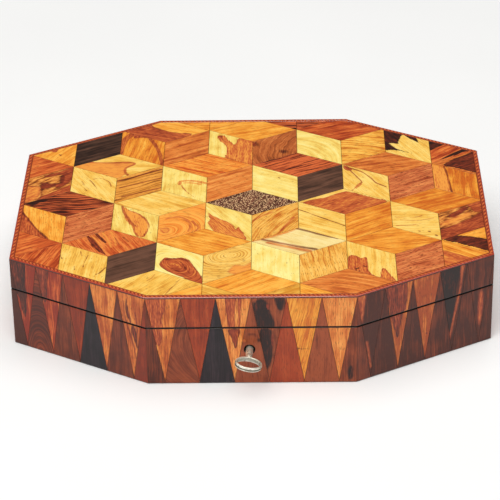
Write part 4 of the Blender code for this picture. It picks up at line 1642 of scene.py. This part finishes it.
@dataclass
class SideVeneers:
    """The long triangles of veneer round the sides, cut by the lid's joint."""

    sizes: BoxSizes
    pitch: float = 21.3 * MM
    foot_line: float = 1.8 * MM
    gap: float = 0.1 * MM
    arris: float = 0.12 * MM
    rim_arris: float = 0.45 * MM
    corner_arris: float = 0.25 * MM
    hole_arris: float = 0.3 * MM
    grid: float = 1.5 * MM
    fine_grid: float = 0.6 * MM
    # How far painted shade, nearly black, reaches from the joint's rim on the base and on the lid,
    # from the keyhole and from the back bevel: the shadow in those gaps.
    gap_shades_mm: dict[str, float] = field(
        default_factory=lambda: {"base": 0.3, "lid": 0.5, "hole": 0.3, "bevel": 0.3}
    )
    hinge_inset: float = 3.0 * MM
    back_bevel: float = math.radians(51.5)
    keyhole: Keyhole = Keyhole(3.25 * MM, 2.8 * MM, 6.2 * MM)
    seed: int = 11

    def scheme(self, side: str, half: float) -> SideScheme:
        """Return a side's woods; those that the photograph hides take turns.

        Args:
            side: the side's name.
            half: half its length.

        Returns:
            The woods.
        """
        if side in SCHEMES:
            return SCHEMES[side]
        start = SIDES.index(side)
        end = start + round(2 * half / self.pitch)
        # The hidden sides reuse the front's and the front left's woods, with the front left's
        # painted shade in its tones.
        down = (FRONT.down + FRONT_LEFT.down) * 2
        up = (FRONT.up[1:-1] + FRONT_LEFT.up[1:-1]) * 3
        return SideScheme(down[start:end], up[start:end + 1])

    def triangles(self, half: float, scheme: SideScheme) -> list[tuple[Array, Veneer]]:
        """Return a side's triangles with their veneers, before any cut.

        Args:
            half: half the side's length.
            scheme: the side's woods.

        Returns:
            Corners, anticlockwise, and the veneer of each.
        """
        step = half / len(scheme.down)
        low, foot, top = self.sizes.foot, self.foot_line, self.sizes.side_top
        down = [(-step, top), (0, foot), (step, top)]
        up = [(-step, low), (step, low), (step, foot), (0, top), (-step, foot)]
        found = []
        for corners, start, veneers in ((down, step - half, scheme.down), (up, -half, scheme.up)):
            for number, veneer in enumerate(veneers):
                found.append((np.array(corners) + (start + 2 * number * step, 0), veneer))
        return found

    def side_edges(self, index: int, half: float, part: str, plane: Plane) -> list[Edge]:
        """Return the edges that all of one side's tiles share.

        They are the joint's rim, the foot or the banding's line, and the two corners of
        the box, whose mitres lean in. Toward the back the rim is bevelled behind the
        hinges' pins: the plane through the pins that rises by the bevel's angle.

        Args:
            index: the side's place in SIDES.
            half: half its length.
            part: "base" or "lid".
            plane: the side's outer face.

        Returns:
            The edges.
        """
        sizes = self.sizes
        if part == "lid":
            way, rim, other, other_arris = 1.0, sizes.lid_rim, sizes.side_top, self.arris
        else:
            way, rim, other, other_arris = -1.0, sizes.rim, sizes.foot, self.rim_arris
        edges = [
            # The rim's edge carries painted shade: the shadow in the lid's joint.
            Edge((0, rim), (0, way), self.rim_arris, 0.0, self.gap_shades_mm[part]),
            Edge((0, other), (0, -way), other_arris),
        ]
        corners = sizes.outline()
        runs = np.roll(corners, -1, axis=0) - corners
        runs /= np.linalg.norm(runs, axis=1, keepdims=True)
        for neighbour, sign in ((index - 1, 1.0), ((index + 1) % len(SIDES), -1.0)):
            slant = math.tan(math.acos(runs[index] @ runs[neighbour]) / 2)
            edges.append(Edge((-sign * half, 0), (sign, 0), self.corner_arris, slant))
        if "back" in SIDES[index]:
            pin = Vector((0, sizes.high.y - self.hinge_inset, (sizes.rim + sizes.lid_rim) / 2))
            facing = Vector((0, -math.sin(self.back_bevel), way * math.cos(self.back_bevel)))
            flat = Vector((facing.dot(plane.across), facing.dot(plane.up)))
            point = flat * (facing.dot(pin - plane.origin) / flat.length_squared)
            slant = facing.dot(plane.out) / flat.length
            line = (tuple(point), tuple(flat.normalized()))
            # The bevel carries painted shade: the shadow in the gap behind the hinges.
            edges.append(Edge(*line, self.rim_arris, slant, self.gap_shades_mm["bevel"]))
        return edges

    def lay(self, sheet: Veneering, shared: list[Edge], pierced: bool, tiles: list[tuple]) -> None:
        """Lay one side's triangles on the base or on the lid.

        Args:
            sheet: the veneers that they join.
            shared: the edges that all of them share.
            pierced: whether the keyhole may go through one of them.
            tiles: corners, veneer and offset in the log of each.
        """
        hole = np.array([self.sizes.keyhole_x, self.sizes.keyhole_z])
        for whole, veneer, offset in tiles:
            outline = cut_along(whole, edges_of(whole, 0), self.gap / 2)
            edges = edges_of(outline, self.arris) + shared
            outline = cut_along(outline, shared)
            if len(outline) < 3:
                continue
            if pierced and all(edge.distance(hole) > 0 for edge in edges_of(outline, 0)):
                patch = pierced_patch(outline, hole, self.keyhole, self.grid)
                # The keyhole's edge carries painted shade: the shadow inside the hole.
                wax = (self.hole_arris, 0.0, self.gap_shades_mm["hole"], self.keyhole.radius)
                edges.append(HoleEdge(tuple(hole), (0, 0), *wax))
            else:
                patch = convex_patch(outline, self.fine_grid if veneer.figures else self.grid)
            sheet.lay(patch, veneer, np.array([whole[:, 0].mean(), 0.0]), offset, edges)

    def build(self) -> list[Piece]:
        """Lay every side, with one piece for the base and one for the lid.

        Returns:
            The pieces.
        """
        chance = np.random.default_rng(self.seed)
        finishes: dict[Wood, Material] = {}
        pieces = []
        for index, side in enumerate(SIDES):
            plane, half = self.sizes.side_plane(index)
            found = self.triangles(half, self.scheme(side, half))
            offsets = chance.uniform(-LOG_MM, LOG_MM, (len(found), 2))
            tiles = [(*tile, offset) for tile, offset in zip(found, offsets)]
            woods = dict.fromkeys(veneer.wood for _, veneer in found)
            finishes |= {wood: wood.material() for wood in woods if wood not in finishes}
            for part in ("base", "lid"):
                sheet = Veneering(plane, self.sizes.side_veneer)
                shared = self.side_edges(index, half, part, plane)
                self.lay(sheet, shared, (side, part) == ("front", "base"), tiles)
                piece = sheet.piece(f"{part}_{side}_veneers", finishes)
                pieces.append(placed(piece, part, f"{part}_veneer_{side}"))
        return pieces


@dataclass(frozen=True)
class CarcaseWood:
    """Plain mahogany board, planed, oiled and a little dusty.

    It gives the eye a quiet red-brown, matt, with short dark pores. Sizes are
    millimetres, and the grain runs along the board.
    """

    light: str = "b4744a"
    body: str = "955733"
    dark: str = "6b3a20"
    pore: str = "40200f"
    # Painted shade: nearly black round the keyhole, for the shadow inside it.
    keyhole_shade: str = "080402"
    streak_mm: tuple[float, float] = (90.0, 5.0)
    fibre_mm: tuple[float, float] = (18.0, 1.1)
    pore_mm: tuple[float, float] = (5.0, 0.55)  # drawn coarser than real pores, to show
    cloud_mm: tuple[float, float] = (45.0, 30.0)
    roughness: float = 0.55
    # How near and how far from the keyhole's middle that painted shade reaches.
    keyhole_shade_mm: tuple[float, float] = (9.0, 10.5)

    def material(self, turn: float = 0.0, keyhole: tuple[float, ...] | None = None) -> Material:
        """Make the finish for boards that run one way.

        Args:
            turn: how far the board is turned about the upright, in radians.
            keyhole: the middle of a hole through it, about which the board is painted nearly black:
                painted shade inside the hole.

        Returns:
            A material that reads Object coordinates.
        """
        board = f"{round(math.degrees(turn))} degrees{', pierced' if keyhole else ''}"
        recipe = Recipe(f"mahogany board at {board}, oiled")
        place = recipe.add("TexCoord", {}, "Object")
        turned = recipe.add("Mapping", {"vector_type": "TEXTURE", 0: place, 2: (0.0, 0.0, turn)})
        recipe.mark(turned, {
            name: ((long * MM, wide * MM, wide * MM), detail)
            for name, (long, wide), detail in (
                ("streaks", self.streak_mm, 3.0),
                ("fibres", self.fibre_mm, 2.0),
                ("pores", self.pore_mm, 1.0),
                ("clouds", self.cloud_mm, 2.0),
            )
        })
        stops = [(0.0, self.dark), (0.5, self.body), (1.0, self.light)]
        tone = recipe.added_up(0.5, [], {"streaks": 0.22, "fibres": 0.12, "clouds": 0.12})
        colour = recipe.add("ValToRGB", {"stops": stops, 0: tone})
        ranges = [(recipe.marks["pores"], 0.58, 0.68, 0.6, self.pore)]
        # Painted shade inside the keyhole: the board goes nearly black about the hole's middle.
        if keyhole:
            off = recipe.add("VectorMath", {"operation": "DISTANCE", 0: place, 1: keyhole}, 1)
            near, far = (reach * MM for reach in self.keyhole_shade_mm)
            ranges.append((off, far, near, 1.0, self.keyhole_shade))
        layers = recipe.amounts(ranges)
        relief = recipe.added_up(recipe.marks["fibres"], [(layers[0][0], -1.0)])
        gloss = ("clouds", self.roughness - 0.05, self.roughness + 0.07)
        recipe.wear(gloss, relief, 0.1 * MM, 0.3)
        return recipe.finished(colour, layers, {})


@dataclass(frozen=True)
class Metal:
    """Old metal, filed, rubbed bright where hands reach it and tarnished elsewhere.

    It gives the eye a soft, uneven shine with dark spots. Sizes are millimetres. Below the
    given height, where one is given, it is painted nearly black: painted shade inside the box.
    Where rubbed is given, the piece's attribute of that name says how bright the metal is:
    worn bright, or darker with tarnish and painted shade.
    """

    name: str
    bright: str
    dull: str
    # Also the colour of painted shade, below the given height and where the attribute darkens the
    # metal.
    tarnish_and_shade: str
    roughness: float = 0.32
    cloud_mm: float = 4.0
    spot_mm: float = 1.6
    scratch_mm: tuple[float, float, float] = (1.4, 0.11, 0.11)
    shaded_below_mm: float | None = None
    rubbed: bool = False
    metallic: float = 1.0

    def material(self) -> Material:
        """Make the finish.

        Returns:
            A material that reads Object coordinates.
        """
        recipe = Recipe(self.name)
        place = recipe.add("TexCoord", {}, "Object")
        place = recipe.add("VectorMath", {"operation": "SCALE", 0: place, "Scale": 1 / MM})
        recipe.mark(place, {
            "clouds": ((self.cloud_mm,) * 3, 3.0),
            "spots": ((self.spot_mm,) * 3, 4.0),
            "scratches": (self.scratch_mm, 1.0),
        })
        spots = recipe.marks["spots"]
        shade = {"stops": [(0.38, self.dull), (0.6, self.bright)], 0: recipe.marks["clouds"]}
        colour = recipe.add("ValToRGB", shade)
        ranges = [(spots, 0.54, 0.68, 0.8, self.tarnish_and_shade)]
        # Painted shade: below the height the metal goes nearly black, for the shadow inside the
        # box.
        if self.shaded_below_mm is not None:
            height = recipe.add("SeparateXYZ", {0: place}, 2)
            low, high = self.shaded_below_mm - 0.4, self.shaded_below_mm + 0.4
            ranges.append((height, high, low, 0.97, self.tarnish_and_shade))
        # Where the attribute is low the metal is darker: partly tarnish, partly painted shade and
        # dark reflection.
        if self.rubbed:
            worn = recipe.add("Attribute", {"attribute_name": "rubbed"}, "Fac")
            ranges.append((worn, 0.85, 0.1, 0.92, self.tarnish_and_shade))
        relief = recipe.added_up(recipe.marks["scratches"], [(spots, -2.0)])
        gloss = ("spots", self.roughness - 0.1, self.roughness + 0.16)
        recipe.wear(gloss, relief, 0.04 * MM, 0.25)
        return recipe.finished(colour, recipe.amounts(ranges), {"Metallic": self.metallic})


BRASS = Metal("cast brass, rubbed and tarnished", "d8b060", "a87c3c", "4c3418")
# The lock's body is painted dark below its rim: painted shade inside the box.
LOCK_BRASS = Metal(
    "lock brass, painted shade below the rim", "dcb464", "ac8040", "0e0a06", shaded_below_mm=38.4,
)
KEY_STEEL = Metal(
    "key steel, worn smooth", "faf6ea", "dcd8c8", "5c5844", roughness=0.4, rubbed=True,
    metallic=0.75,
)


def revolved(profile: Array, steps: int, smooth: bool) -> tuple[Array, Faces]:
    """Turn a profile round the Y axis, and close both ends with flat faces.

    A point is the radius times the cosine and the sine of the turn, at its place on Y.

    Args:
        profile: N by 2, radius and place, along Y from low to high.
        steps: how many steps go round.
        smooth: whether its wall is shaded smoothly.

    Returns:
        Points and faces.
    """
    turn = np.arange(steps) / steps * 2 * math.pi
    radius, along = profile[:, :1], profile[:, 1:]
    level = np.broadcast_to(along, (len(profile), steps))
    points = np.stack([radius * np.cos(turn), level, radius * np.sin(turn)], axis=-1)
    numbers = np.arange(level.size).reshape(level.shape)
    ends = np.stack([numbers[0], numbers[-1][::-1]])
    return points.reshape(-1, 3), [(grid_quads(numbers, True), 0, smooth), (ends, 0, False)]


def joined(parts: list[tuple[Array, Faces]]) -> tuple[Array, Faces]:
    """Put several closed forms together.

    Args:
        parts: points and faces of each.

    Returns:
        The points and faces of all.
    """
    points, faces, count = [], [], 0
    for own, own_faces in parts:
        faces += [(group + count, slot, smooth) for group, slot, smooth in own_faces]
        points.append(own)
        count += len(own)
    return np.concatenate(points), faces


@dataclass
class Key:
    """The key that stands in the lock: a round shank, an oval bow with a groove, a bit.

    It is drawn with its axis along Y, and its places along Y are from the box's front.
    """

    sizes: BoxSizes
    yaw: float = math.radians(-2)
    roll: float = math.radians(10)
    shank: float = 2.3 * MM
    shoulder: float = -5.0 * MM
    neck: float = 1.65 * MM
    bow_start: float = -10.5 * MM
    bow_width: float = 16.9 * MM
    bow_length: float = 13.2 * MM
    bow_height: float = 3.0 * MM
    bow_steps: int = 120
    rim: float = 1.3 * MM
    groove: float = 0.5 * MM
    groove_drop: float = -0.35 * MM
    groove_half: float = 0.8 * MM
    tip: float = 8.4 * MM
    bit: tuple[float, float, float] = (5.2 * MM, 6.5 * MM, 8.2 * MM)
    bit_half: float = 1.0 * MM
    steps: int = 40

    def shank_form(self) -> tuple[Array, Faces]:
        """Turn the shank, which narrows to its neck behind a slight collar.

        Returns:
            Points and faces.
        """
        profile = [
            (self.neck * 0.6, self.bow_start - self.rim * 0.6),
            (self.neck * 0.95, self.bow_start - self.rim * 0.3),
            (self.neck, self.bow_start + 0.4 * MM),
            (self.neck * 1.15, self.bow_start + 1.0 * MM),
            (self.neck * 1.2, self.bow_start + 1.5 * MM),
            (self.neck * 1.08, self.bow_start + 2.0 * MM),
            (self.shank * 0.85, self.shoulder - 1.6 * MM),
            (self.shank * 0.96, self.shoulder - 0.4 * MM),
            (self.shank, self.shoulder + 0.6 * MM),
            (self.shank, self.tip - 0.3 * MM),
            (self.shank - 0.3 * MM, self.tip),
        ]
        return revolved(np.array(profile), self.steps, True)

    def bow_form(self) -> tuple[Array, Faces, Array]:
        """Bend the bow, an upright strip, to an oval, with a groove outside.

        A point is the ellipse's point, plus its normal times the section's reach, at
        the section's height. The section is a rounded strip; its outer side draws in by
        the groove times a squared cosine of the way from the groove's middle.

        Returns:
            Points, faces, and how bright each point is: 1 on the upper and the lower edge,
            less on the inner side, and 0 in the groove; the darker places are partly tarnish and
            partly painted shade, for the shade and dark reflections in the groove and inner side.
        """
        around, turn = (
            np.arange(count) / count * 2 * math.pi for count in (self.bow_steps, self.steps)
        )
        halves = (np.array([self.bow_width, self.bow_length]) - self.rim) / 2
        round_it = np.stack([np.cos(around), np.sin(around)], axis=1)
        normal = halves[::-1] * round_it
        normal /= np.linalg.norm(normal, axis=1, keepdims=True)
        ellipse = halves * round_it + (0, self.bow_start - self.bow_length / 2)
        reach = np.sign(np.cos(turn)) * np.abs(np.cos(turn)) ** 0.5 * self.rim / 2
        height = np.sign(np.sin(turn)) * np.abs(np.sin(turn)) ** 0.7 * self.bow_height / 2
        way = np.clip((height - self.groove_drop) / self.groove_half, -1, 1)
        grooved = np.where(reach > 0, np.cos(way * math.pi / 2) ** 2, 0)
        edge = np.clip((np.abs(height) / self.bow_height * 2 - 0.55) / 0.3, 0, 1)
        # Partly tarnish, partly painted shade: the groove and the inner side are darkened for the
        # shade and dark reflections that fall there.
        rubbed = np.where(reach > 0, 1 - np.clip(grooved * 1.6, 0, 1), 0.35 + 0.65 * edge)
        flat = ellipse[:, None] + normal[:, None] * (reach - self.groove * grooved)[None, :, None]
        level = np.broadcast_to(height[None, :, None], (*flat.shape[:2], 1))
        points = np.concatenate([flat, level], axis=-1)
        numbers = np.arange(points[..., 0].size).reshape(points.shape[:2])
        faces = [(grid_quads(np.vstack([numbers, numbers[:1]]), True), 0, True)]
        return points.reshape(-1, 3), faces, np.broadcast_to(rubbed, numbers.shape).ravel()

    def bit_form(self) -> tuple[Array, Faces]:
        """Stand the bit, a plate, out to the right of the shank.

        Returns:
            Points and faces.
        """
        reach, start, end = self.bit
        flat = np.array([(0.0, start), (reach, start), (reach, end), (0.0, end)] * 2)
        level = np.repeat([-self.bit_half, self.bit_half], 4)
        numbers = np.arange(8).reshape(2, 4)
        low, high = numbers
        walls = np.stack([low, np.roll(low, -1), np.roll(high, -1), high], axis=1)
        quads = np.concatenate([walls, low[None, ::-1], high[None]])
        return np.column_stack([flat, level]), [(quads, 0, False)]

    def build(self) -> Piece:
        """Put the three forged forms together and stand the key in the lock.

        Returns:
            The piece.
        """
        bow_points, bow_faces, bow_wear_and_shade = self.bow_form()
        shank, bit = self.shank_form(), self.bit_form()
        points, faces = joined([shank, (bow_points, bow_faces), bit])
        # The shank is nearly all bright and the bit darker; the bow's darker places are partly
        # painted shade.
        rubbed = [np.full(len(shank[0]), 0.85), bow_wear_and_shade, np.full(len(bit[0]), 0.3)]
        piece = surface("worn_steel_key", points, faces, [KEY_STEEL.material()])
        add_attribute(piece, "rubbed", np.concatenate(rubbed))
        place = (self.sizes.keyhole_x, self.sizes.front, self.sizes.keyhole_z)
        turn = Matrix.Rotation(self.yaw, 4, "Z") @ Matrix.Rotation(self.roll, 4, "Y")
        piece.data.transform(Matrix.Translation(place) @ turn)
        return placed(piece, "base", "key")


@dataclass
class Screws:
    """Small slotted brass screws, in the hinges' leaves and the lock's plates."""

    radius: float = 1.2 * MM
    proud: float = 0.12 * MM
    sunk: float = 0.4 * MM
    slot_half: float = 0.17 * MM
    slot_depth: float = 0.1 * MM
    turn_step: float = 1.1
    leaf_spread: float = 9.0 * MM
    leaf_set: float = 1.6 * MM
    plate_spread: float = 18.5 * MM
    rings: int = 10
    steps: int = 40

    def head(self) -> tuple[Array, Faces]:
        """Shape one head, facing up, with its flat at the origin's height.

        A point lies at a share of the head's radius, and rises by what the share's
        square leaves of how far it stands proud, less the slot's depth near the middle
        line. A flat face below closes it.

        Returns:
            Points and faces.
        """
        share = np.append(np.linspace(0.02, 1, self.rings), 1.0)
        fall = -self.proud * (1 - share**2 * 0.9)
        fall[-1] = self.sunk
        profile = np.column_stack([share * self.radius, fall])
        points, faces = revolved(profile, self.steps, False)
        points = points[:, (0, 2, 1)] * (1, 1, -1)
        slotted = np.abs(points[:-self.steps, 1]) < self.slot_half
        points[:-self.steps, 2] -= np.where(slotted, self.slot_depth, 0.0)
        return points, faces

    def places(self, part: str) -> tuple[list[tuple[float, float]], float]:
        """Return where a body's screws stand, and the height of the plates' face.

        Args:
            part: "base" or "lid".

        Returns:
            Places from above, and the height.
        """
        found = []
        for hinge in ("left", "right"):
            low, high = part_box(f"hinge_{hinge}_{part}_leaf")
            middle, y = (low.x + high.x) / 2, low.y + self.leaf_set
            found += [(middle + way * self.leaf_spread, y) for way in (-1, 0, 1)]
        low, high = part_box("lock_link_plate")
        middle = (low + high) / 2
        found += [(middle.x + way * self.plate_spread, middle.y) for way in (-1, 1)]
        return found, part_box("lock")[1].z if part == "base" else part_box("lid_wall_front")[0].z

    def build(self, brass: Material) -> list[Piece]:
        """Set the base's screws, which face up, and the lid's, which face down.

        Args:
            brass: their finish.

        Returns:
            The pieces.
        """
        pieces = []
        points, faces = self.head()
        for part, way in (("base", 1.0), ("lid", -1.0)):
            places, rim = self.places(part)
            heads = []
            for number, place in enumerate(places):
                cos, sin = math.cos(number * self.turn_step), math.sin(number * self.turn_step)
                spin = np.array([[cos, sin, 0], [-sin, cos, 0], [0, 0, 1]])
                heads.append((points @ spin * (1, way, way) + (*place, rim), faces))
            piece = surface(f"{part}_brass_screws", *joined(heads), [brass])
            pieces.append(placed(piece, part))
        return pieces


@dataclass
class Carcase:
    """The boards and the brass that stay as the frame gives them."""

    sizes: BoxSizes
    hole_depth: float = 4.0 * MM

    def dress(self, brass: Material) -> list[Piece]:
        """Give every board and fitting its finish.

        Args:
            brass: the finish of the hinges and the link plate.

        Returns:
            The dressed nodes.
        """
        wood = CarcaseWood()
        finishes = {"lock": LOCK_BRASS.material(), "lock_link_plate": brass}
        flat = wood.material()
        finishes |= {"base_bottom": flat, "lid_board": flat}
        for index, side in enumerate(SIDES):
            plane, _ = self.sizes.side_plane(index)
            board = wood.material(math.atan2(plane.across.y, plane.across.x))
            finishes |= {f"base_wall_{side}": board, f"lid_wall_{side}": board}
        # The keyhole's painted shade is centred a little inside the front board.
        depth = self.sizes.low.y + self.hole_depth
        keyhole = (self.sizes.keyhole_x, depth, self.sizes.keyhole_z)
        finishes["base_wall_front"] = wood.material(0.0, keyhole)
        for hinge in ("left", "right"):
            for part in ("base_leaf", "lid_leaf", "pin"):
                finishes[f"hinge_{hinge}_{part}"] = brass
        for name, finish in finishes.items():
            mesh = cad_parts[name].data
            mesh.materials.clear()
            mesh.materials.append(finish)
        return [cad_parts[name] for name in finishes]


@dataclass
class Studio:
    """A pale floor, soft lights and the photograph's point of view.

    Each light has a name, a place, its width and height, and its watts.
    """

    camera_place: tuple[float, float, float] = (0.01824, -1.34121, 0.79544)
    pitch: float = 29.826
    yaw: float = 0.859
    roll: float = -0.9175
    lens_mm: float = 168.2
    sensor_mm: float = 36.0
    floor_half: float = 12.0
    lights: tuple[tuple, ...] = (
        ("key", (-0.7, -2.2, 3.7), (3.6, 2.8), 148),
        ("top", (0.3, 0.2, 4.2), (4.4, 4.4), 102),
    )
    light_colour: tuple[float, float, float] = (1.03, 1.0, 0.93)
    sky: str = "f0ece6"
    sky_strength: float = 0.12

    def build(self) -> None:
        """Set up the floor, the lights, the world and the camera."""
        self.floor()
        for name, place, size, watts in self.lights:
            lamp = bpy.data.lights.new(name, "AREA")
            lamp.shape = "RECTANGLE"
            lamp.size, lamp.size_y = size
            lamp.energy = watts
            lamp.color = self.light_colour
            holder = linked(name, lamp)
            holder.location = place
            holder.rotation_euler = (-Vector(place)).to_track_quat("-Z", "Y").to_euler()
        world = bpy.data.worlds.new("studio")
        world.use_nodes = True
        background = world.node_tree.nodes["Background"]
        background.inputs["Color"].default_value = linear(self.sky)
        background.inputs["Strength"].default_value = self.sky_strength
        bpy.context.scene.world = world
        bpy.context.scene.view_settings.view_transform = "Standard"
        self.camera()

    def floor(self) -> None:
        """Lay the floor: matt white paint, with a very faint unevenness."""
        corners = np.array([(-1, -1, 0), (1, -1, 0), (1, 1, 0), (-1, 1, 0)]) * self.floor_half
        recipe = Recipe("white painted board")
        place = recipe.add("TexCoord", {}, "Object")
        cloud = recipe.add("TexNoise", {"Scale": 4.0, "Vector": place})
        shade = recipe.add("ValToRGB", {"stops": [(0.3, "eff2f8"), (0.7, "f3f6fc")], 0: cloud})
        paint = recipe.finished(shade, [], {"Roughness": 0.9, "Specular IOR Level": 0.1})
        surface("floor", corners, [(np.array([[0, 1, 2, 3]]), 0, False)], [paint])

    def camera(self) -> None:
        """Stand the camera where the photographer stood."""
        data = bpy.data.cameras.new("camera")
        data.sensor_width = self.sensor_mm
        data.lens = self.lens_mm
        data.clip_start = 0.05
        matrix = Matrix.Translation(self.camera_place)
        for angle, axis in ((self.yaw, "Z"), (90 - self.pitch, "X"), (self.roll, "Z")):
            matrix = matrix @ Matrix.Rotation(math.radians(angle), 4, axis)
        camera = linked("camera", data)
        camera.matrix_world = matrix
        bpy.context.scene.camera = camera


def main() -> None:
    """Build the looks in order and report each piece."""
    logging.basicConfig(level=logging.INFO, format="%(message)s")
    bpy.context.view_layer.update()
    sizes = BoxSizes.read()
    Studio().build()
    pieces = LidParquetry(sizes).build()
    pieces.append(Banding(sizes).build())
    pieces += SideVeneers(sizes).build()
    brass = BRASS.material()
    pieces.append(Key(sizes).build())
    pieces += Screws().build(brass)
    pieces += Carcase(sizes).dress(brass)
    for piece in pieces:
        log.info("%s: %d faces", piece.name, len(piece.data.polygons))


if __name__ == "__main__":
    main()
